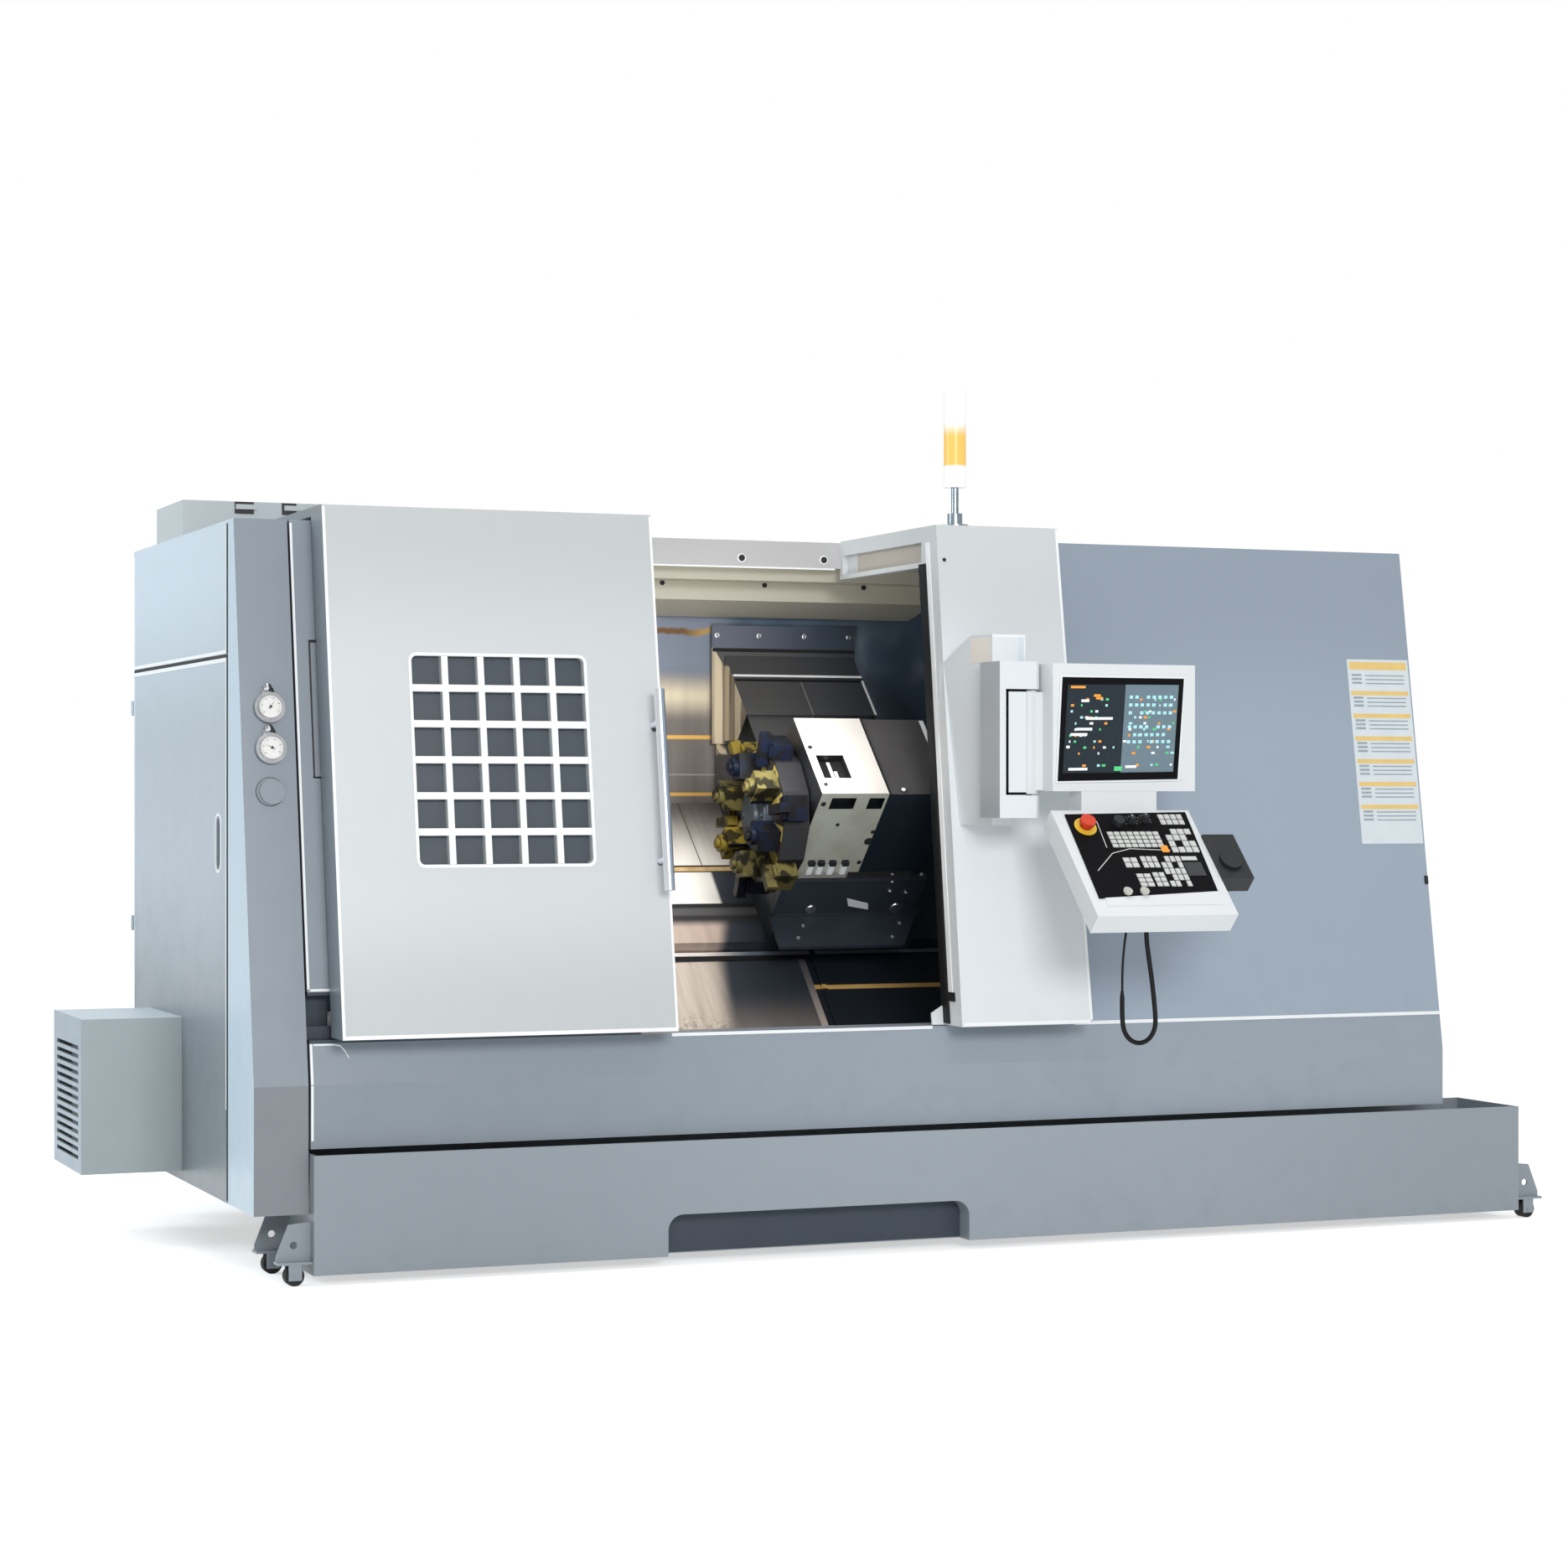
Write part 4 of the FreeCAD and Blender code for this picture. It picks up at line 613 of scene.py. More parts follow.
latch_black = mottled("black_moulding", 50, (0.010, 0.011, 0.013), (0.022, 0.024, 0.027),
                      (0.38, 0.2, 200), Specular_IOR_Level=0.4)
latch_black.relief(latch_black.grain(600, 2), 0.12)
boxes("hatch_latch", front(-0.005), [(0.063, 0.098, 1.341, 1.433, -0.004, 0.009),
                                     (0.068, 0.076, 1.350, 1.424, 0.009, 0.012)],
      latch_black, "machine", 0.003)
boxes("hatch_gap", front(-0.005), [(0.0385, 0.0425, 1.225, 1.5555, 0.003, 0.0058),
                                   (0.0385, 0.100, 1.552, 1.5565, 0.003, 0.0058)],
      latch_black, "machine")


# ---- sliding door --------------------------------------------------------------------------------
# A leaning door pan with a five by six grid of panes and a bright pull bar. A thin white lip frames
# every pane, and the laminated glass behind the grid is dark slate.

DOOR_AHEAD = 0.117                                  # how far the door stands before the front
PANE_X, PANE_Z = 0.3024, 1.044
PANE_STEP = (0.0921, 0.0882)
PANE_HALF = (0.0375, 0.035)
dress(mottled("pane_glass", 5, (0.045, 0.060, 0.078), (0.072, 0.092, 0.112), (0.22, 0.12, 3),
              IOR=1.5), "window_glass")
lip_white = mottled("door_lip_paint", 9, (0.86, 0.88, 0.89), (0.94, 0.95, 0.95), Roughness=0.35)


def across(finish):
    """How far right of the tank's left end a surface point is, in metres."""
    return finish.along("X") - TANK_CORNER.x


def add_frame(bm, place, outer, inner, low, high):
    """A flat frame between two outlines that have as many corners."""
    for side in range(len(outer)):
        add_plate(bm, place, [outer[side - 1], outer[side], inner[side], inner[side - 1]],
                  low, high)


@piece(lip_white, "front_door")
def pane_lips(bm):
    """A raised bead round every pane, joined into one grid, wider along the outside."""
    place = leaning(DOOR_AHEAD)
    left, right = PANE_X - PANE_HALF[0], PANE_X + 4 * PANE_STEP[0] + PANE_HALF[0]
    low, high = up(PANE_Z - PANE_HALF[1]), up(PANE_Z + 5 * PANE_STEP[1] + PANE_HALF[1])
    gap_x = PANE_STEP[0] - 2 * PANE_HALF[0]
    gap_z = (PANE_STEP[1] - 2 * PANE_HALF[1]) * STRETCH
    for column in range(1, 5):
        x = left + column * PANE_STEP[0] - gap_x
        add_boxes(bm, place, (x + 0.001, x + gap_x - 0.001, low, high, SUNK, 0.0014))
    for row in range(1, 6):
        y = low + row * PANE_STEP[1] * STRETCH - gap_z
        add_boxes(bm, place, (left, right, y + 0.001, y + gap_z - 0.001, SUNK, 0.0016))
    corner, bead = 0.012, 0.008
    outer, inner = [], []
    for x, y, start in ((right - corner, high - corner, 0), (left + corner, high - corner, 90),
                        (left + corner, low + corner, 180), (right - corner, low + corner, 270)):
        for step in range(5):
            angle = math.radians(start + 22.5 * step)
            for outline, radius in ((outer, corner + bead), (inner, corner + 0.001)):
                outline.append((x + radius * math.cos(angle), y + radius * math.sin(angle)))
    add_frame(bm, place, outer, inner, SUNK, 0.0018)


boxes("door_rims", front(DOOR_AHEAD), [(0.0555, 0.9085, 0.5925, 0.6015, SUNK, 0.0012),
                                       (0.0555, 0.0625, 0.6015, 1.885, SUNK, 0.0012),
                                       (0.9025, 0.9085, 0.6015, 1.885, SUNK, 0.0012)],
      lip_white, "front_door")

# The pull bar is painted near white on its left half and blue-grey on its right: a painted
# highlight and painted shade.
handle_steel_painted_light = Finish("handle_steel_painted_light", Metallic=1.0)
handle_steel_painted_light.wear("Base Color", handle_steel_painted_light.past(across(handle_steel_painted_light), 0.873, 0.886,
                                                  (0.92, 0.93, 0.95), (0.44, 0.53, 0.66)))
handle_steel_painted_light.wear("Roughness", 0.26 + 0.1 * handle_steel_painted_light.grain(60, 3, (1, 1, 0.05)))
dress(handle_steel_painted_light, "door_handle")
dress(dark_paint, "door_rails")


@piece(mark_black, "front_door")
def handle_bushes(bm):
    """The black bushes where the pull bar's two stems enter the door."""
    for x, z in ((0.8878, 1.3454), (0.8846, 1.0105)):
        add_disc(bm, spot(x, front_y(z, DOOR_AHEAD), z), 0.0085, 0.004, LEAN, 20, 0.006)


@piece(door_paint, "front_door", 0.001)
def door_shoe(bm):
    """The curved foot behind the door's left edge that runs on the lower rail."""
    add_plate(bm, front(0.009), [(0.062, 0.596), (0.094, 0.596), (0.094, 0.668), (0.080, 0.660),
                                 (0.070, 0.640), (0.064, 0.615)], 0.0005, 0.006)


# ---- portal and ceiling beam ---------------------------------------------------------------------
# The white frame that the door closes against. Its inner edge has a bright folded lip with a black
# rubber gasket behind it, and the folded beam behind the opening is held by socket screws.

gasket_rubber = mottled("gasket_rubber", 40, (0.004, 0.004, 0.005), (0.012, 0.012, 0.013),
                        (0.6, 0.2, 90), Specular_IOR_Level=0.3)
channel_blue = Finish("channel_blue", Specular_IOR_Level=0.15, Roughness=0.5)
channel_blue.wear("Base Color", channel_blue.past(channel_blue.along("Z"), 0.9, 1.7,
                                                  (0.003, 0.004, 0.006), (0.008, 0.012, 0.017)))
groove_beige = sheet_paint("groove_beige", (), (0.46, 0.42, 0.37), low=0.9, high=1.3)
zinc = mottled("zinc_screw", 70, (0.55, 0.56, 0.58), (0.80, 0.80, 0.82), (0.25, 0.2, 120),
               Metallic=1.0)
PORTAL_FOOT, PORTAL_TOP = (1.684, 0.582), (1.705, 1.889)
FRONTWARDS = Vector((0, -1, 0))


def portal_x(z):
    """Where the portal's inner face stands at a height: it leans a little to the left downwards."""
    slope = (PORTAL_TOP[0] - PORTAL_FOOT[0]) / (PORTAL_TOP[1] - PORTAL_FOOT[1])
    return PORTAL_FOOT[0] + slope * (z - PORTAL_FOOT[1])


def add_inner_strip(bm, z_low, z_high, near, far, thick):
    """A strip on the portal's inner face, between two distances behind its front panel."""
    corners = ((z_low, near), (z_low, far), (z_high, far), (z_high, near))
    add_solid(bm, [[bm.verts.new(spot(portal_x(z) + out, front_y(z, DOOR_AHEAD) + behind, z))
                    for z, behind in corners] for out in (0.0003, -thick)])


def add_screw(bm, place, facing, radius, tall):
    """A socket head cap screw: a round head with a chamfered rim and a hexagon pit."""
    turn = Vector(facing).to_track_quat("Z", "Y").to_matrix()
    sixth = math.pi / 3
    rings = []
    for reach, height, six_sided in ((1, 0, False), (1, 0.8, False), (0.85, 1, False),
                                     (0.5, 1, True), (0.5, 0.4, True)):
        ring = []
        for corner in range(24):
            angle = corner * math.tau / 24
            far = radius * reach
            if six_sided:
                far *= math.cos(sixth / 2) / math.cos((angle + sixth / 2) % sixth - sixth / 2)
            at = Vector((far * math.cos(angle), far * math.sin(angle), height * tall))
            ring.append(bm.verts.new(Vector(place) + turn @ at))
        rings.append(ring)
    add_walls(bm, rings)
    bm.faces.new(rings[-1])


@piece(lip_white, "machine")
def portal_lip(bm):
    add_inner_strip(bm, 0.66, 1.845, 0.048, 0.072, 0.0015)
    add_boxes(bm, front(DOOR_AHEAD), (2.0525, 2.0595, 0.586, 1.886, SUNK, 0.0012),
              (1.688, 2.0595, 0.5835, 0.592, SUNK, 0.0012))


@piece(gasket_rubber, "machine")
def portal_gasket(bm):
    add_inner_strip(bm, 0.586, 1.79, 0.072, 0.086, 0.004)
    add_inner_strip(bm, 0.645, 0.668, 0.034, 0.074, 0.0025)


boxes("roof_groove", FLOOR, [(1.7181, 1.7188, 0.243, 0.700, 1.7965, 1.8465)],
      groove_beige, "machine")


@piece(channel_blue, "machine")
def gasket_channel(bm):
    add_inner_strip(bm, 0.586, 1.79, 0.086, 0.118, 0.003)


# A thin pale strip along the header's fold: a painted highlight.
boxes("header_fold_highlight", FLOOR, [(0.87, 1.688, 0.7905, 0.7917, 1.8085, 1.8130)],
      pale_trim_and_highlight, "machine")


@piece(latch_black, "machine")
def beam_screws(bm):
    for x in (1.407, 1.654):
        add_screw(bm, spot(x, 0.792, 1.836), FRONTWARDS, 0.009, 0.005)
    for x in (1.538, 1.843, 1.230):
        add_screw(bm, spot(x, 0.950, 1.772), FRONTWARDS, 0.007, 0.004)
    for x, z in ((1.722, 1.796), (1.716, 1.398)):
        add_screw(bm, spot(x, front_y(z, DOOR_AHEAD), z), LEAN, 0.005, 0.002)


@piece(pale_trim_and_highlight, "machine")
def beam_washers(bm):
    for x in (1.407, 1.654):
        add_disc(bm, spot(x, 0.7922, 1.836), 0.0125, 0.0016, FRONTWARDS)


# ---- machining room ------------------------------------------------------------------------------
# Brushed steel covers over the slanted ways and the back wall. They are oil-stained near the chuck,
# dark blue paint towards the tailstock, with amber stains along their lips. Their brightness near
# the chuck is painted light and painted reflections, and painted shade darkens them towards the
# tailstock.

SPINDLE_Y, SPINDLE_Z = 0.340, 0.885
SLOPE = 0.7071                                      # both the sine and the cosine of the slant
SLANT = (Matrix.Translation(spot(0, SPINDLE_Y, SPINDLE_Z))
         @ Matrix.Rotation(math.radians(45), 4, "X"))
OUTWARDS = SLANT.to_3x3() @ Vector((0, 0, 1))
DOWN_SLANT = SLANT.to_3x3() @ Vector((0, -1, 0))
STAIN = (0.60, 0.38, 0.12)


def up_slant(finish):
    """How far up the 45 degree slant from the spindle line a surface point is, in metres."""
    rise = finish.along("Y") - (TANK_CORNER.y + SPINDLE_Y) + finish.along("Z") - SPINDLE_Z
    return rise * SLOPE


wall = Finish("wall_steel", Metallic=0.35)
brushed = wall.grain(30, 4, (1, 1, 0.05))
cloudy = wall.grain(2.4)
wall_x, wall_z = across(wall), wall.along("Z")
left_part = 1 - wall.step(wall_x, 1.455, 1.475)
tone = wall.blend(brushed, (0.135, 0.120, 0.110), (0.225, 0.205, 0.190))
tone = wall.past(wall_z, 1.46, 1.56, tone, (0.205, 0.240, 0.310))
# A warm pool of painted light on the back wall's left part.
painted_light_pool = wall.band(wall_z + 0.03 * cloudy, 1.452, 1.515, 0.045) * wall.band(wall_x, 0.90, 1.46, 0.05)
tone = wall.blend(painted_light_pool * (0.55 + 0.45 * brushed), tone, (0.95, 0.84, 0.62))
tone = wall.blend(wall.band(wall_z, 1.2345, 1.2385, 0.001), tone, (0.34, 0.31, 0.28))
patches = wall.step(cloudy, 0.42, 0.60) * wall.band(wall_z, 1.36, 1.66, 0.06)
dark = wall.blend(patches, (0.075, 0.115, 0.170), (0.32, 0.39, 0.47))
# The back wall's right part is darker: partly its blue paint, partly painted shade.
tone = wall.past(wall_x, 1.46, 1.56, tone, dark)
wavy = wall.grain(22, 3, (1, 1, 0.4))
stain = wall.band(wall_z + 0.028 * wavy, 1.654, 1.672, 0.005) * left_part
stain_tone = wall.past(wall_x, 1.36, 1.44, (0.17, 0.075, 0.012), (0.46, 0.30, 0.09))
tone = wall.blend(stain * 0.95, tone, stain_tone)
lines = wall.band(wall_z, 1.3385, 1.3495, 0.002) + wall.band(wall_z, 1.1755, 1.1850, 0.002)
wall.wear("Base Color", wall.blend((lines * left_part).clamped(), tone, (0.78, 0.46, 0.11)))
wall.wear("Roughness", 0.34 + 0.2 * wall.grain(60, 3, (1, 1, 0.05)))
dress(wall, "chamber_lining")

way = Finish("way_steel", Metallic=0.1)
fine = way.grain(46, 4, (1, 0.06, 0.06))
way_x, way_u = across(way), up_slant(way)
# The near-white parts of the upper and middle covers are painted reflections.
upper = way.past(way_u + 0.05 * fine, 0.50, 0.76, (0.97, 0.92, 0.86), (0.115, 0.098, 0.090))
scratch = way.band(way_x + 0.034 * way_u, 1.3583, 1.3612, 0.0012)
upper = way.blend(scratch, upper, (0.03, 0.024, 0.02))
# The shadow tone is painted shade.
shadow = way.blend(fine, (0.026, 0.032, 0.046), (0.042, 0.048, 0.062))
middle = way.past(way_x, 1.357, 1.369, (0.99, 0.96, 0.90), shadow)
# The pale low part beside the shadow tone is painted light.
low_pale = way.blend(fine, (0.40, 0.31, 0.26), (0.68, 0.55, 0.48))
amber = way.blend(fine, (0.42, 0.25, 0.07), (0.95, 0.70, 0.36))
tone = way.past(way_x - 0.35 * way_u, 1.235, 1.28, low_pale, shadow)
tone = way.past(way_u, 0.250, 0.285, tone, (0.022, 0.022, 0.026))
tone = way.blend(way.band(way_u, 0.297, 0.325, 0.006), tone, (0.085, 0.082, 0.080))
for low, high, next_tone in ((0.326, 0.328, (0.006, 0.007, 0.009)), (0.340, 0.343, middle),
                             (0.460, 0.463, (0.010, 0.008, 0.006)), (0.465, 0.467, amber),
                             (0.481, 0.483, (0.006, 0.005, 0.005)), (0.487, 0.490, upper)):
    tone = way.past(way_u, low, high, tone, next_tone)
# Towards the tailstock the covers turn dark blue: partly paint, partly painted shade.
way.wear("Base Color", way.past(way_x, 1.47, 1.52, tone, (0.022, 0.032, 0.046)))
way.wear("Roughness", 0.30 + 0.2 * fine)
dress(way, "fixed_way_covers", "left_middle_cover", "right_middle_cover", "carriage_covers")

chute = Finish("low_cover_steel", Metallic=0.1)
rubbed = chute.grain(60, 5, (1, 0.08, 0.08))
chute_x, chute_u = across(chute), up_slant(chute)
# The pale left part near the chuck is painted light.
pale = chute.blend(rubbed, (0.40, 0.33, 0.28), (0.72, 0.64, 0.56))
drops = chute.step(chute.grain(120, 4), 0.48, 0.62) * (1 - chute.step(chute_u, -0.12, 0.0))
pale = chute.blend(drops, pale, (0.20, 0.17, 0.14))
brown = chute.blend(rubbed, (0.10, 0.085, 0.075), (0.24, 0.21, 0.19))
right_part = chute.past(chute_u + 0.06 * rubbed, -0.10, 0.09, brown, (0.030, 0.038, 0.050))
# The dark right part is partly blue paint and partly painted shade.
tone = chute.past(chute_x - 0.15 * chute_u, 1.265, 1.325, pale, right_part)
hem_tone = chute.past(chute_u, -0.22, 0.17, (0.62, 0.52, 0.45), (0.09, 0.09, 0.10))
tone = chute.past(chute_x, 1.551, 1.553, tone, hem_tone)
tail_tone = chute.blend(chute.band(chute_u, 0.052, 0.067, 0.002), (0.010, 0.014, 0.020), STAIN)
chute.wear("Base Color", chute.past(chute_x, 1.571, 1.573, tone, tail_tone))
chute.wear("Roughness", 0.30 + 0.25 * rubbed)
chute.relief(chute.grain(300, 2, (0.3, 1, 1)), 0.2, 0.0005)
dress(chute, "chip_chute")

rail = Finish("rail_steel", Metallic=0.1)
# The rail strip is painted light near the chuck and dark towards the tailstock: painted light and
# shade.
rail.wear("Base Color", rail.past(across(rail), 1.26, 1.42, (0.80, 0.74, 0.70),
                                  (0.15, 0.175, 0.215)))
rail.wear("Roughness", 0.3 + 0.2 * rail.grain(60, 3, (0.05, 1, 1)))
boxes("rail_strip", SLANT, [(1.180, 2.003, 0.177, 0.190, -0.3895, -0.3875)],
      rail, "machine")
boxes("rail_shadow", SLANT, [(1.180, 2.003, 0.160, 0.177, -0.3898, -0.3890)],
      gasket_rubber, "machine")

tail = Finish("tail_paint", Specular_IOR_Level=0.45)
tone = tail.blend(tail.grain(4, 4), (0.006, 0.009, 0.014), (0.013, 0.019, 0.027))
tail.wear("Base Color", tail.blend(tail.band(up_slant(tail), 0.046, 0.061, 0.002), tone, STAIN))
tail.wear("Roughness", 0.32 + 0.2 * tail.grain(30))
dress(tail, "tailstock")


# ---- carriage and cross slide --------------------------------------------------------------------
# The carriage's rear bracket and the sloping covers of the cross slide, painted dark blue and grey,
# with a lip between the plates and zinc plated screws. The lip's near white is a painted highlight,
# and the paint carries painted light on its left parts and on one facet of the slide.

coat = Finish("carriage_paint", Specular_IOR_Level=0.45)
coat_x, coat_z = across(coat), coat.along("Z")
# Both paints are lighter on the left and darker on the right: painted light and shade.
blue = coat.past(coat_x, 1.45, 1.80, (0.115, 0.130, 0.175), (0.036, 0.050, 0.075))
grey = coat.past(coat_x, 1.55, 1.90, (0.072, 0.072, 0.074), (0.040, 0.044, 0.056))
seam = coat.band(coat_x, 1.688, 1.691, 0.002) * (1 - coat.step(up_slant(coat), 0.93, 0.945))
plate = coat.blend(seam, grey, (0.22, 0.22, 0.22))
low_part = coat.blend(coat.grain(5, 4), (0.018, 0.026, 0.038), (0.042, 0.054, 0.070))
tone = coat.past(coat_z, 1.20, 1.22, low_part, plate)
# A pale patch on the slide's left facets is painted light.
cream = coat.past(coat.grain(26, 3, (1, 1, 0.04)), 0.44, 0.56, (0.15, 0.115, 0.08),
                  (0.58, 0.50, 0.36))
lit_facet_mask = 1 - coat.step(coat_x - 0.62 * (1.60 - coat_z), 1.448, 1.452)
lit_facet_mask = lit_facet_mask * coat.step(coat_z, 1.29, 1.30) * (1 - coat.step(coat_x, 1.4838, 1.4845))
tone = coat.blend(lit_facet_mask, tone, cream)
coat.wear("Base Color", coat.past(coat_z, 1.600, 1.602, tone, blue))
coat.wear("Roughness", 0.36 + 0.2 * coat.grain(22))
dress(coat, "saddle", "cross_slide", "slide_middle_cover")

# The lip is painted near white: a painted highlight where it catches the light.
boxes("cover_lip", SLANT, [(1.484, 1.883, 0.9505, 0.958, -0.0632, -0.0545),
                           (1.8795, 1.8865, 0.802, 0.944, -0.0634, -0.0605)],
      pale_trim_and_highlight, "carriage", 0.001)


@piece(gasket_rubber, "carriage")
def cover_lip_shadow(bm):
    add_boxes(bm, FLOOR, (1.447, 1.889, 1.1222, 1.1232, 1.590, 1.600))
    add_boxes(bm, SLANT, (1.488, 1.879, 0.9375, 0.9455, -0.0634, -0.0622))


@piece(zinc, "carriage")
def carriage_screws(bm):
    for x in (1.462, 1.591, 1.732, 1.872):
        add_screw(bm, spot(x, 1.1232, 1.637), FRONTWARDS, 0.008, 0.002)
    for x, u in ((1.526, 0.160), (1.499, 0.116), (1.816, 0.164), (1.779, 0.113)):
        add_screw(bm, SLANT @ Vector((x, u, -0.2530)), OUTWARDS, 0.006, 0.002)


SLIDE_FOOT = 0.2028                                 # the slide's underside, up the slant
UNDER_SLIDE = (SLANT @ Matrix.Translation((0, SLIDE_FOOT, 0))
               @ Matrix.Rotation(math.radians(90), 4, "X"))


@piece(zinc, "cross_slide")
def slide_screws(bm):
    for x, v in ((1.757, -0.094), (1.845, -0.095), (1.766, -0.124), (1.770, -0.161),
                 (1.820, -0.167)):
        add_screw(bm, SLANT @ Vector((x, SLIDE_FOOT, v)), DOWN_SLANT, 0.006, 0.005)


@piece(pale_trim_and_highlight, "cross_slide")
def lubricant_block(bm):
    """The small pale distributor under the slide."""
    add_plate(bm, UNDER_SLIDE, ((1.663, -0.22), (1.727, -0.235), (1.72, -0.212), (1.651, -0.19)),
              0, 0.002)


@piece(zinc, "cross_slide")
def hose_plugs(bm):
    """The zinc plugs that close the slide's two hose ports."""
    for x, v, radius in ((1.810, -0.231, 0.018), (1.555, -0.233, 0.016)):
        add_disc(bm, UNDER_SLIDE @ Vector((x, v, 0)), radius, 0.003, DOWN_SLANT, 20,
                 radius - 0.002)


cast_paint = mottled("cast_paint", 6, (0.12, 0.14, 0.155), (0.20, 0.22, 0.235), (0.5, 0.2, 40), 4,
                     Specular_IOR_Level=0.4)
cast_paint.relief(cast_paint.grain(220), 0.35)
dress(cast_paint, "base_casting", "headstock_casting")
ground_steel = Finish("ground_steel", Metallic=1.0)
ground_steel.wear("Base Color", ground_steel.blend(ground_steel.grain(20, 3, (0.04, 1, 1)),
                                                   (0.40, 0.40, 0.40), (0.62, 0.62, 0.61)))
ground_steel.wear("Roughness", 0.22 + 0.2 * ground_steel.grain(120, 3, (0.03, 1, 1)))
dress(ground_steel, "bed_ways", "spindle", "chuck_body", "chuck_jaw_1", "chuck_jaw_2",
      "chuck_jaw_3", "motor_pulley", "carriage_screw", "quill", "levelling_feet")
dress(dark_paint, "spindle_motor")
dress(wheel_rubber, "drive_belt")


# ---- tool turret ---------------------------------------------------------------------------------
# An enamelled case with a grey motor hood carries a twelve-station disc. The holders are painted
# yellow, navy or black, each with a bare tool, and everything near the chuck is filmed with oil.

TURRET_UP, TURRET_OFF = 0.297, 0.040                # the disc's axis, up and out of the slant
CASE_FOOT, CASE_FACE = 0.157, 0.263                 # the case's underside and its outer face
BOLT_CIRCLE = 0.066
TOWARD_CHUCK = Vector((-1, 0, 0))


def out_slant(finish):
    """How far out from the slant through the spindle a surface point is, in metres."""
    rise = finish.along("Z") - SPINDLE_Z - finish.along("Y") + (TANK_CORNER.y + SPINDLE_Y)
    return rise * SLOPE


def off_axis(finish):
    """How far up and out from the turret's axis a surface point is."""
    return up_slant(finish) - TURRET_UP, out_slant(finish) - TURRET_OFF


def turret_station(finish):
    """Which of the twelve stations a surface point belongs to, counted round the axis."""
    rise, off = off_axis(finish)
    turned = finish.node("Math", {"operation": "ARCTAN2"}, {0: off, 1: rise})
    return turned * (6 / math.pi) + 1.18


case = Finish("case_enamel")
case_x, case_u, case_v = across(case), up_slant(case), out_slant(case)
not_under = case.step(case_u, 0.1573, 0.1585)
smear = case.grain(12, 4)
white = case.blend(smear, (0.65, 0.62, 0.58), (0.72, 0.69, 0.655))
# The case's underside is a darker, greener copy of its white: painted shade.
under = case.past(smear, 0.4, 0.7, (0.43, 0.445, 0.385), (0.36, 0.36, 0.305))
# The vent slots, the sight glass pocket and the case's left face behind the disc are painted near
# black: painted shade.
vent = not_under * (1 - case.step(case_u, 0.184, 0.185)) * case.band(case_v, 0.203, 0.247, 0.0005)
window = case.band(case_x, 1.4525, 1.5325, 0.0003) * (1 - case.step(case_v, 0.2618, 0.2626))
window = window * case.band(case_u, 0.2145, 0.3025, 0.0003)
painted_shade_part = vent + window + (1 - case.step(case_x, 1.4303, 1.4308))
tone = case.blend(painted_shade_part.clamped(), case.blend(not_under, under, white), (0.006, 0.007, 0.009))
hood_side = case.blend(smear, (0.052, 0.049, 0.052), (0.078, 0.075, 0.077))
# The hood's underside is painted near-black navy: painted shade.
hood = case.blend(not_under, (0.008, 0.014, 0.022), hood_side)
case.wear("Base Color", case.past(case_x, 1.6236, 1.6244, tone, hood))
case.wear("Roughness", 0.28 + 0.2 * smear)
dress(case, "turret_housing")

glint = mottled("glass_glint", 60, (0.75, 0.80, 0.84), (0.90, 0.93, 0.95), Roughness=0.3)
CONNECTORS = (1.474, 1.502, 1.535, 1.572)
for name, rows, finish, slot, bevel in (
        ("sight_glass", [(1.4535, 1.5315, 0.2155, 0.3015, 0.2332, 0.240)],
         gasket_rubber, "pane_glass", 0.001),
        ("sight_glass_glint", [(1.488, 1.497, 0.222, 0.296, 0.2402, 0.2412),
                               (1.500, 1.509, 0.238, 0.262, 0.2402, 0.2412)],
         glint, "pane_glass", 0),
        ("hood_edges", [(1.799, 1.811, 0.160, 0.440, 0.2600, 0.2612)],
         pale_trim_and_highlight, "turret_white", 0),
        ("hood_joint", [(1.6225, 1.6275, 0.158, 0.442, 0.2600, 0.2636)],
         gasket_rubber, "black_plastic", 0)):
    boxes(name, SLANT, rows, finish, "cross_slide", bevel)


@piece(latch_black, "cross_slide")
def case_screws(bm):
    for x, u, radius in ((1.445, 0.330, 0.006), (1.449, 0.190, 0.005)):
        add_screw(bm, SLANT @ Vector((x, u, CASE_FACE)), OUTWARDS, radius, 0.004)
    for x, v, radius in ((1.617, 0.083, 0.012), (1.619, 0.119, 0.006), (1.614, 0.002, 0.006),
                         (1.444, 0.225, 0.007), (1.508, 0.147, 0.005)):
        add_screw(bm, SLANT @ Vector((x, CASE_FOOT, v)), DOWN_SLANT, radius, 0.003)


boxes("case_connectors", SLANT, [(x - 0.008, x + 0.008, 0.146, 0.1575, -0.036, -0.003)
                                 for x in CONNECTORS],
      pale_trim_and_highlight, "cross_slide", 0.001)


@piece(latch_black, "cross_slide", 0.001)
def connector_caps(bm):
    """The four plugs' caps, and the black washer under the hood's bolt."""
    for x in CONNECTORS:
        add_boxes(bm, SLANT, (x - 0.009, x + 0.009, 0.144, 0.1575, -0.003, 0.011))
    add_disc(bm, SLANT @ Vector((1.668, 0.171, 0.2603)), 0.008, 0.002, OUTWARDS, 20)


@piece(pale_trim_and_highlight, "cross_slide", 0.0005)
def hood_bolt(bm):
    add_disc(bm, SLANT @ Vector((1.668, 0.171, 0.2623)), 0.006, 0.004, OUTWARDS, 6)


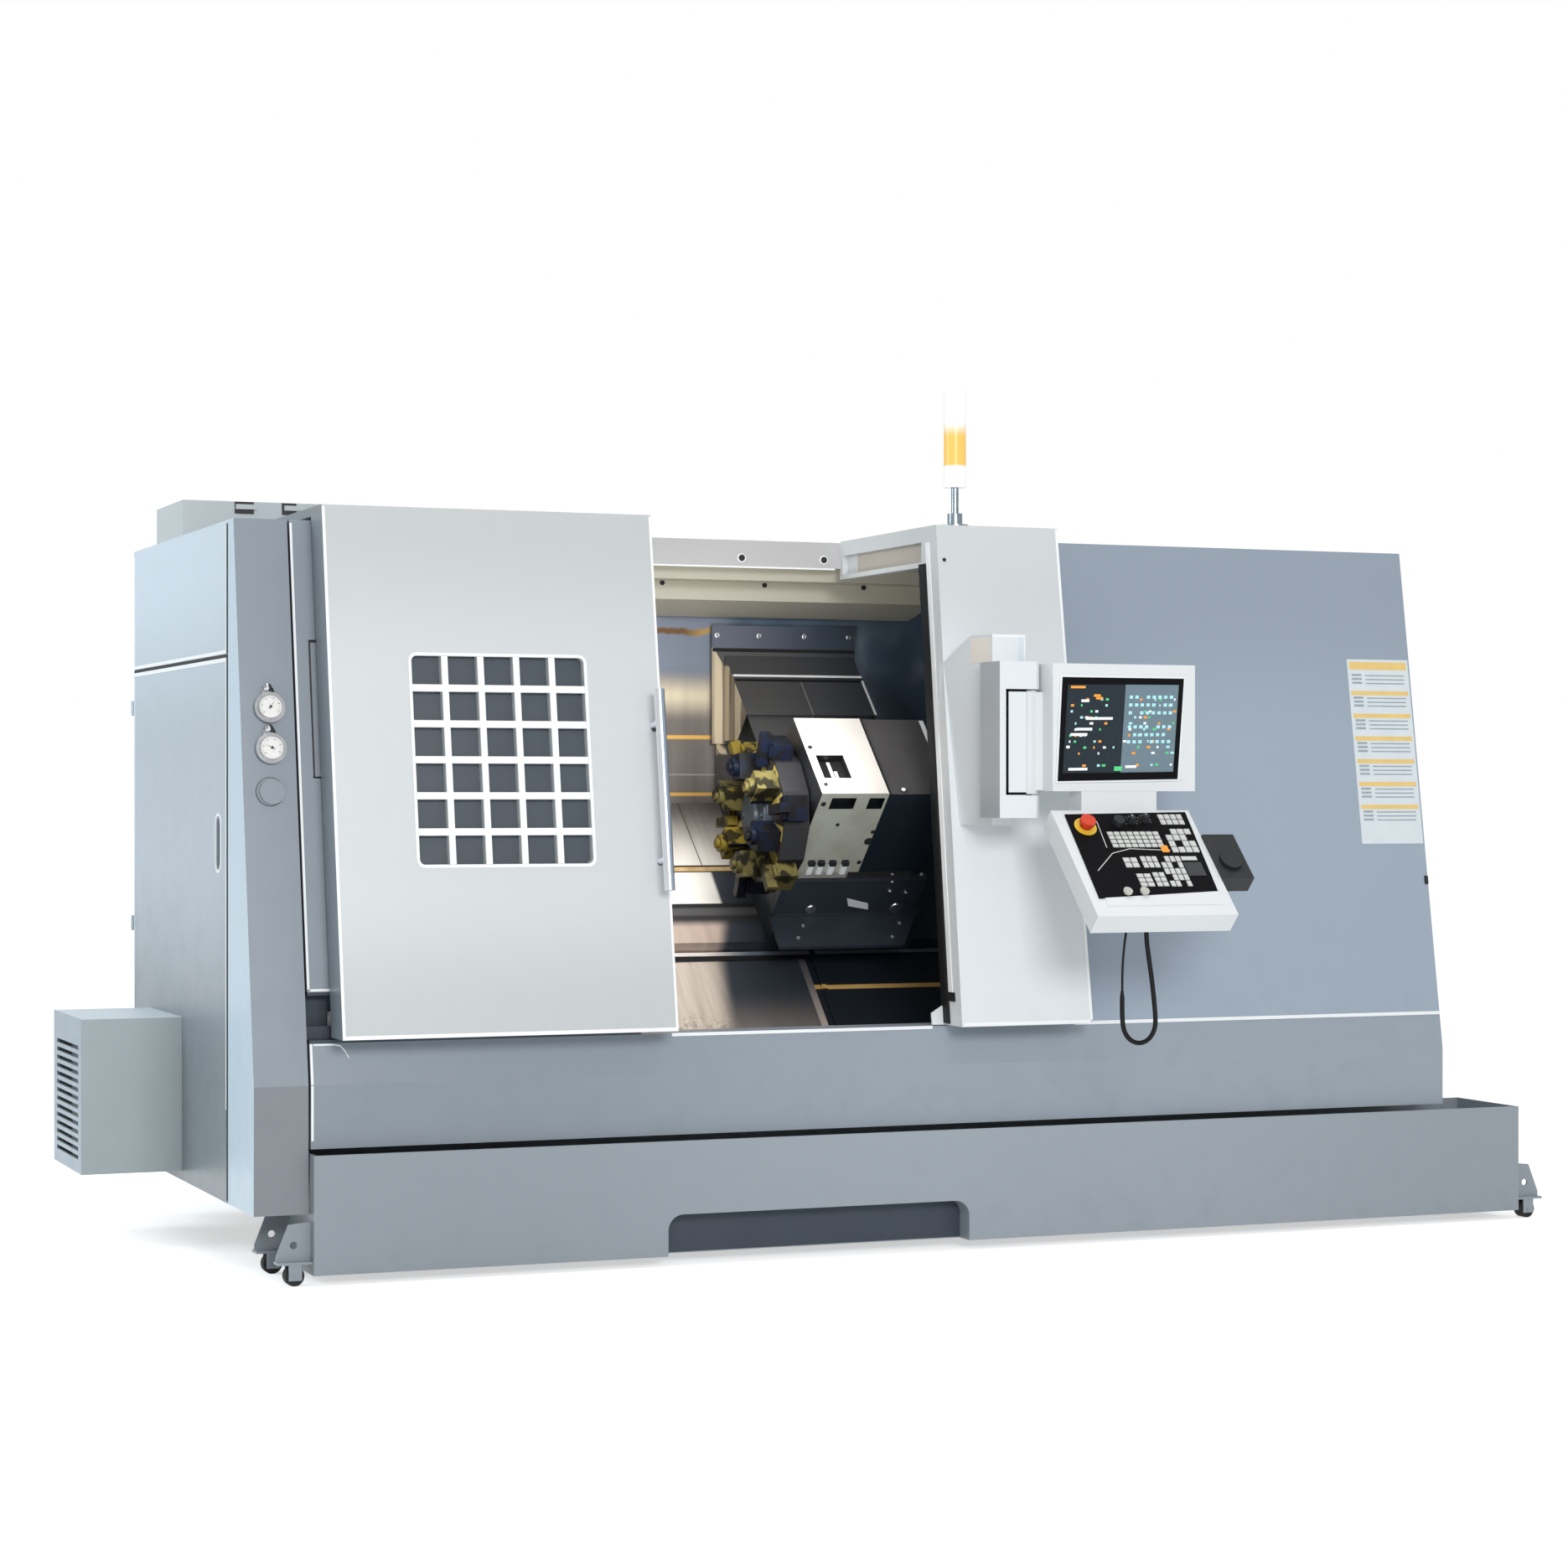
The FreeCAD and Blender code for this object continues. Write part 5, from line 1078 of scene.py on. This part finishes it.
holder = Finish("tool_paint", Specular_IOR_Level=0.12)
station = turret_station(holder)
share = ((station - station % 1.0) / 12.0 + 1.0 / 24) % 1.0
worn = holder.step(holder.grain(24, 4), 0.47, 0.55)
yellow = holder.blend(holder.grain(8), (0.060, 0.045, 0.006), (0.21, 0.155, 0.022))
navy = holder.blend(holder.grain(20), (0.0025, 0.0040, 0.010), (0.0050, 0.0080, 0.020))
olive = holder.blend(holder.grain(20), (0.03, 0.027, 0.012), (0.14, 0.12, 0.04))
stops = [(place / 12, (grey, grey, grey)) for place, grey in
         ((0, 0.5), (1, 0), (2, 1), (3, 1), (4, 0.5), (5, 1), (7, 0.5), (9, 1), (10, 0))]
kinds = holder.node("ValToRGB", {"stops": stops}, {"Fac": share})
tone = holder.past(kinds, 0.7, 0.8, holder.past(kinds, 0.2, 0.3, yellow, olive), navy)
holder.wear("Base Color", holder.blend(worn * 0.9, tone, (0.004, 0.004, 0.004)))
holder.wear("Roughness", 0.3 + 0.25 * holder.grain(30))
dress(holder, "tool_holders")

disc = Finish("disc_paint", Metallic=0.2)
rise, off = off_axis(disc)
radial = disc.node("Math", {"operation": "SQRT"}, {0: rise * rise + off * off})
olive = disc.blend(disc.grain(16), (0.20, 0.155, 0.030), (0.36, 0.29, 0.08))
ring = disc.past(turret_station(disc) % 1.0, 0.44, 0.48, olive, (0.020, 0.018, 0.016))
hub_blue = disc.blend(disc.grain(10), (0.020, 0.030, 0.042), (0.045, 0.060, 0.078))
tone = disc.past(radial, 0.092, 0.094, hub_blue, ring)
disc.wear("Base Color", disc.past(radial, 0.176, 0.1765, tone, (0.010, 0.010, 0.012)))
disc.wear("Roughness", 0.35 + 0.2 * disc.grain(40))
dress(disc, "turret_disc")

hub_paint = mottled("hub_paint", 10, (0.026, 0.036, 0.050), (0.060, 0.078, 0.098),
                    (0.34, 0.2, 50), Metallic=0.3)


@piece(hub_paint, "turret", 0.0008)
def hub_cover(bm):
    """The turned cap on the disc's hub, with its stepped rim, on the side that faces the chuck."""
    centre = SLANT @ Vector((1.338, TURRET_UP, TURRET_OFF))
    add_disc(bm, centre, 0.086, 0.004, TOWARD_CHUCK, 48, 0.082)
    add_disc(bm, centre + TOWARD_CHUCK * 0.004, 0.040, 0.010, TOWARD_CHUCK, 40, 0.036)
    for turn in range(6):
        angle = math.radians(60 * turn + 15)
        place = Vector((1.334, TURRET_UP + BOLT_CIRCLE * math.cos(angle),
                        TURRET_OFF + BOLT_CIRCLE * math.sin(angle)))
        add_screw(bm, SLANT @ place, TOWARD_CHUCK, 0.006, 0.005)


# ---- control pendant -----------------------------------------------------------------------------
# A moulded off-white monitor case and desk on a swivel arm. The monitor has a black bezel round a
# lit screen of plain fields, and the desk a black key field with rows of pale keys.

plastic = Finish("case_plastic")
plastic_z = plastic.along("Z")
hub_part = 1 - plastic.step(across(plastic), 1.872, 1.874)
hub_part = hub_part * (1 - plastic.step(plastic_z, 1.178, 1.180))
hub_part = hub_part * plastic.step(plastic_z, 1.1385, 1.1395)
tone = plastic.blend(plastic.grain(4), (0.70, 0.73, 0.75), (0.78, 0.80, 0.81))
plastic.wear("Base Color", plastic.blend(hub_part, tone, (0.17, 0.185, 0.20)))
plastic.wear("Roughness", 0.38 + 0.08 * plastic.grain(60))
plastic.relief(plastic.grain(900, 2), 0.08, 0.0004)
dress(plastic, "screen_housing", "keyboard_desk")
# The arm's left face is painted darker grey: painted shade.
arm_paint = sheet_paint("arm_paint", ("pendant_arm",), (0.74, 0.78, 0.805),
                        [("X", 0.1609, 0.1606, (0.430, 0.460, 0.490))],
                        low=0.9, high=1.3, spread=0.02)
# Warm beige for the mount's left face: painted light reflected from the door.
mount_side_painted_light = sheet_paint("mount_side_painted_light", (), (0.80, 0.74, 0.68), low=0.9, high=1.3)
matt_black = mottled("matt_black", 90, (0.002, 0.002, 0.003), (0.006, 0.006, 0.007),
                     (0.5, 0.2, 60), Specular_IOR_Level=0.08)
# Black strips over the gaps round the arm's hub: painted shade.
boxes("arm_gap_painted_shade", FLOOR, [(1.7285, 1.7355, -0.2256, -0.2245, 1.180, 1.446),
                         (1.7285, 1.7850, -0.2256, -0.2245, 1.440, 1.4465),
                         (1.7285, 1.7850, -0.2256, -0.2245, 1.1785, 1.185)],
      matt_black, "machine")
boxes("mount_cap", FLOOR, [(1.744, 1.836, -0.1115, 0.0, 1.5175, 1.5885)],
      arm_paint, "machine", 0.001)
# Pale strips on the cap's top and right edges: painted highlights.
boxes("mount_cap_edge_highlights", FLOOR, [(1.744, 1.838, -0.1125, -0.1095, 1.5825, 1.590),
                                 (1.833, 1.838, -0.1125, -0.1095, 1.5175, 1.583)],
      pale_trim_and_highlight, "machine")


@piece(mount_side_painted_light, "machine")
def mount_cap_side(bm):
    """The mount's slanted left face over the arm, painted a touch warmer: painted light from the
    door.
    """
    run = [(1.744 - 0.2174 * far - 0.0006, -0.110 + 0.976 * far) for far in (0.003, 0.088)]
    corners = [bm.verts.new(spot(x, y, z)) for z in (1.518, 1.583) for x, y in run]
    bm.faces.new((corners[0], corners[1], corners[3], corners[2]))


boxes("mount_cap_fold", FLOOR, [(1.8195, 1.8325, -0.1122, -0.1100, 1.5175, 1.582)],
      cooler_paint, "machine")

SCREEN = Matrix.Translation(spot(0, -0.265, 0)) @ Matrix.Rotation(math.radians(90), 4, "X")
BEZEL = [(1.853, 1.213), (2.196, 1.219), (2.215, 1.477), (1.867, 1.477)]
PICTURE = [Vector(corner) for corner in
           ((1.867, 1.233), (2.184, 1.238), (2.201, 1.461), (1.882, 1.459))]


def lit(name, low, high, strength=0.35):
    """A small glowing or printed field, slightly uneven."""
    made = mottled(name, 80, low, high, Roughness=0.4, Specular_IOR_Level=0.08)
    made.wear("Emission Color", high)
    made.wear("Emission Strength", strength)
    return made


def add_field(bm, left, right, low, high, top=0.0013, bottom=0.0009):
    """A plate over a share of the picture, whose four corners are not quite square."""
    outline = []
    for part_x, part_y in ((left, low), (right, low), (right, high), (left, high)):
        foot = PICTURE[0].lerp(PICTURE[1], part_x)
        outline.append(foot.lerp(PICTURE[3].lerp(PICTURE[2], part_x), part_y))
    add_plate(bm, SCREEN, outline, bottom, top)


def screen_fields(name, kind, fields, finish):
    """A piece of one colour's fields: those of its kind scattered in rows, then its own."""
    def build(bm):
        for row in range(12):
            low = 0.07 + 0.068 * row
            for column in range(22):
                left = 0.04 + 0.044 * column
                right = left + 0.014 + 0.006 * ((row + column) % 4)
                mine = (row * 37 + column * 17 + row * column * 5) % 11 == kind
                if mine and not 0.46 < right < 0.55:
                    add_field(bm, left, right, low, low + 0.026, 0.0012)
        for field in fields:
            add_field(bm, *field)
    solid_mesh(name, build, finish, "screen")


@piece(matt_black, "screen")
def screen_bezel(bm):
    add_frame(bm, SCREEN, BEZEL, PICTURE, 0.0002, 0.0025)


warm = lit("screen_orange", (0.62, 0.22, 0.03), (0.80, 0.34, 0.06))
screen_fields("screen_left_half", None, [(0.0, 0.52, 0.0, 1.0, 0.0008, 0.0002)],
              lit("screen_dark", (0.012, 0.018, 0.022), (0.020, 0.028, 0.034), 0.6))
screen_fields("screen_right_half", None, [(0.52, 1.0, 0.0, 1.0, 0.0009, 0.0002)],
              lit("screen_blue_grey", (0.10, 0.14, 0.17), (0.13, 0.18, 0.21), 0.5))
screen_fields("screen_cyan_fields", 3,
              [(0.56 + 0.052 * column, 0.59 + 0.052 * column, low, low + 0.036)
               for row, low in enumerate((0.84, 0.75, 0.66, 0.50, 0.41, 0.33))
               for column in range(8) if (row * 5 + column * 3) % 7 < 6],
              lit("screen_cyan", (0.25, 0.52, 0.56), (0.40, 0.72, 0.76)))
screen_fields("screen_white_fields", 5,
              [(left, right, low, low + 0.030) for left, right, low in
               ((0.13, 0.20, 0.80), (0.18, 0.42, 0.60), (0.05, 0.20, 0.42), (0.05, 0.22, 0.03),
                (0.56, 0.66, 0.05), (0.02, 0.05, 0.28), (0.10, 0.24, 0.48))],
              lit("screen_white", (0.60, 0.62, 0.62), (0.75, 0.78, 0.78)))
screen_fields("screen_warm_fields", 7,
              [(left, right, low, low + 0.028) for left, right, low in
               ((0.03, 0.16, 0.955), (0.24, 0.30, 0.86), (0.26, 0.32, 0.83))], warm)
screen_fields("screen_green_fields", 9, [(0.46, 0.53, 0.02, 0.07)],
              lit("screen_green", (0.06, 0.42, 0.16), (0.10, 0.60, 0.22)))


@piece(pale_trim_and_highlight, "screen")
def screen_rim(bm):
    rim = [(x + math.copysign(0.0045, x - 2.0), z + math.copysign(0.0045, z - 1.3))
           for x, z in BEZEL]
    add_frame(bm, SCREEN, BEZEL, rim, -0.0048, 0.0012)


DESK = Matrix.Translation(spot(0, -0.258, 1.139)) @ Matrix.Rotation(math.radians(45), 4, "X")
DESK_UP = DESK.to_3x3() @ Vector((0, 0, 1))
FIELD_TOP, KEY_TOP = 0.0036, 0.0058                 # the key field's and the keys' faces
KEY_GAP = 0.0013                                    # half of what is left free between two keys
KNOBS = ((2.048, -0.043), (2.089, -0.038))
key_cap = mottled("key_caps", 150, (0.52, 0.53, 0.52), (0.72, 0.73, 0.71), (0.4, 0.15, 60),
                  Specular_IOR_Level=0.4)
dark_cap = mottled("dark_caps", 90, (0.028, 0.030, 0.034), (0.050, 0.052, 0.056),
                   (0.35, 0.2, 60), Specular_IOR_Level=0.4)
guard_yellow = mottled("guard_yellow", 60, (0.72, 0.46, 0.03), (0.85, 0.58, 0.05),
                       (0.35, 0.1, 90))
button_red = mottled("button_red", 80, (0.62, 0.035, 0.012), (0.75, 0.07, 0.02), (0.25, 0.1, 60))
button_pale = mottled("button_pale", 80, (0.45, 0.44, 0.40), (0.56, 0.55, 0.50), (0.35, 0.1, 60))
dress(button_red, "stop_button")
dress(button_pale, "start_button", "hold_button")
dress(latch_black, "feed_knob", "handwheel_unit", "handwheel_dial")


def add_keys(bm, x_low, x_high, down_low, down_high, columns, rows, skip=0):
    """A block of bevelled keys between two places across and down the desk."""
    wide = (x_high - x_low) / columns
    deep = (down_high - down_low) / rows
    for column in range(columns):
        for row in range(rows):
            if skip and (column * 7 + row * 4) % skip == 0:
                continue
            left, top = x_low + wide * column + KEY_GAP, down_low + deep * row + KEY_GAP
            right, low = left + wide - 2 * KEY_GAP, top + deep - 2 * KEY_GAP
            rings = [[bm.verts.new(DESK @ Vector((x, -down, out))) for x, down in
                      ((left + inset, low - inset), (right - inset, low - inset),
                       (right - inset, top + inset), (left + inset, top + inset))]
                     for inset, out in ((0, FIELD_TOP), (0.0012, KEY_TOP))]
            bm.faces.new(rings[1])
            add_walls(bm, rings)


@piece(matt_black, "screen")
def desk_key_field(bm):
    add_plate(bm, DESK, [(1.862, -0.308), (2.203, -0.289), (2.218, -0.010), (1.870, -0.017)],
              0.0005, FIELD_TOP)


@piece(key_cap, "screen")
def desk_pale_keys(bm):
    for block in ((1.964, 2.112, 0.079, 0.136, 8, 4), (2.127, 2.206, 0.070, 0.155, 4, 4, 5),
                  (2.131, 2.202, 0.018, 0.056, 4, 2), (1.975, 2.016, 0.170, 0.206, 2, 2),
                  (2.025, 2.074, 0.166, 0.207, 3, 2), (2.078, 2.140, 0.166, 0.273, 4, 5, 6),
                  (1.972, 2.034, 0.226, 0.272, 3, 3, 4), (2.039, 2.074, 0.222, 0.272, 2, 3)):
        add_keys(bm, *block)
    add_boxes(bm, DESK, (2.142, 2.186, -0.182, -0.169, FIELD_TOP, 0.005))


boxes("desk_dark_keys", DESK, [(2.142, 2.192, -0.236, -0.189, FIELD_TOP, 0.0048)],
      dark_cap, "screen")


@piece(warm, "screen")
def desk_orange_keys(bm):
    add_keys(bm, 2.097, 2.120, 0.128, 0.154, 1, 1)


@piece(key_cap, "screen")
def desk_lines(bm):
    """The thin lines printed round the groups of keys."""
    for route in (((1.892, -0.215), (1.955, -0.155), (2.009, -0.140), (2.122, -0.146)),
                  ((1.951, -0.043), (1.946, -0.135))):
        points = [Vector(point) for point in route]
        for start, end in zip(points, points[1:]):
            side = (end - start).orthogonal().normalized() * 0.0011
            add_plate(bm, DESK, [start + side, end + side, end - side, start - side],
                      FIELD_TOP, 0.0040)


@piece(latch_black, "screen", 0.0008)
def desk_knobs(bm):
    for knob in KNOBS:
        add_disc(bm, DESK @ Vector((*knob, FIELD_TOP)), 0.014, 0.004, DESK_UP)
        add_disc(bm, DESK @ Vector((*knob, 0.0076)), 0.011, 0.013, DESK_UP, 24, 0.009)


@piece(key_cap, "screen")
def desk_knob_marks(bm):
    for x, y in KNOBS:
        add_boxes(bm, DESK, (x - 0.001, x + 0.001, y + 0.001, y + 0.008, 0.0206, 0.0212))
        for turn in range(9):
            angle = math.radians(-120 + 30 * turn)
            at_x, at_y = x + 0.0175 * math.sin(angle), y + 0.0175 * math.cos(angle)
            add_boxes(bm, DESK, (at_x - 0.0008, at_x + 0.0008, at_y - 0.0008, at_y + 0.0008,
                                 FIELD_TOP, 0.0041))


@piece(guard_yellow, "screen", 0.0005)
def stop_guard(bm):
    """The flat yellow ring round the stop button."""
    rings = [[bm.verts.new(DESK @ Vector((1.912 + radius * math.cos(math.tau * step / 40),
                                          -0.062 + radius * math.sin(math.tau * step / 40), out)))
              for step in range(40)]
             for radius, out in ((0.014, 0.003), (0.030, 0.003), (0.030, 0.006), (0.014, 0.006))]
    add_walls(bm, rings + rings[:1])


# ---- side door and cooler ------------------------------------------------------------------------
# The left end is one tall hinged door with an oval hand hole, and an oil cooler hangs on it. The
# hand hole has a pale pressed rim with a black cup behind it.

@piece(pale_trim_and_highlight, "side_door")
def hand_hole_rim(bm):
    outer, inner = [], []
    for start, z in ((0, 1.100), (180, 1.016)):
        for step in range(13):
            angle = math.radians(start + 15 * step)
            for outline, radius in ((outer, 0.033), (inner, 0.026)):
                outline.append((0.420 + radius * math.cos(angle), z + radius * math.sin(angle)))
    add_frame(bm, SIDE, outer, inner, SUNK, 0.003)


# ---- chart plate ---------------------------------------------------------------------------------
# A printed sheet behind a clear film on the right cover, shown as plain bars: an amber heading,
# then bands of amber over grey rows. It carries no text. A small black catch sits below it.

CHART_LEFT, CHART_WIDE = 2.993, 0.197
CHART_SECTIONS = [1.480 - 0.0635 * row for row in range(7)]
CHART_ROWS = [z + lift for z in CHART_SECTIONS for lift in (0.008, 0.019, 0.030)]
chart_paper = mottled("chart_paper", 20, (0.62, 0.68, 0.72), (0.72, 0.78, 0.81), Roughness=0.45)
chart_amber = mottled("chart_amber", 30, (0.72, 0.50, 0.16), (0.84, 0.62, 0.24), Roughness=0.45)
chart_grey = mottled("chart_grey", 60, (0.25, 0.30, 0.34), (0.40, 0.46, 0.50), Roughness=0.45)
boxes("chart_plate", front(), [(CHART_LEFT, CHART_LEFT + CHART_WIDE, 1.043, 1.557,
                                SUNK, 0.0008)], chart_paper, "machine")
for name, heights, left, right, low, high, finish in (
        ("chart_amber_bars", CHART_SECTIONS[1:], 0.03, 0.97, 0.040, 0.052, chart_amber),
        ("chart_heading", [1.5], 0.03, 0.97, 0.028, 0.050, chart_amber),
        ("chart_left_rows", CHART_ROWS, 0.06, 0.22, 0.0, 0.006, chart_grey),
        ("chart_right_rows", CHART_ROWS, 0.28, 0.92, 0.0, 0.0035, chart_grey)):
    boxes(name, front(), [(CHART_LEFT + CHART_WIDE * left, CHART_LEFT + CHART_WIDE * right,
                           z + low, z + high, SUNK, 0.0011) for z in heights],
          finish, "machine")
boxes("cover_catch", front(), [(3.1835, 3.1945, 0.930, 0.953, SUNK, 0.004)],
      latch_black, "machine", 0.001)


# ---- electrical cabinet --------------------------------------------------------------------------
# A tall cabinet of folded and painted steel stands behind the headstock. Two small black hinge
# plates are screwed to its roof and stick up over the roof line.

boxes("cabinet_roof_plates", FLOOR, [(0.147, 0.203, 1.514, 1.518, 1.975, 2.0095),
                                     (0.283, 0.326, 1.514, 1.518, 1.975, 2.0095)],
      latch_black, "machine", 0.001)


# ---- signal lamp ---------------------------------------------------------------------------------
# A stack of ribbed lenses, moulded in clear plastic with one amber one between them. It sits on a
# chromed steel stem that is screwed to the portal's roof.

dress(mottled("stem_chrome", 50, (0.20, 0.25, 0.29), (0.42, 0.48, 0.52), (0.22, 0.15, 90),
              Metallic=1.0), "lamp_stem")
RIB = 0.006
lens = Finish("lamp_lens")
stack = lens.along("Z")
amber = lens.step(stack, 2.055, 2.065) * (1 - lens.step(stack, 2.135, 2.185))
lens.wear("Base Color", lens.blend(amber, (0.86, 0.89, 0.89), (0.90, 0.52, 0.12)))
lens.wear("Roughness", 0.2 + 0.1 * lens.grain(90))
lens.wear("Emission Color", lens.blend(amber, (0.9, 0.95, 0.95), (0.9, 0.5, 0.1)))
lens.wear("Emission Strength", 0.22)
lens.relief((stack / RIB) % 1.0, 0.25)
dress(lens, "lamp_lens")
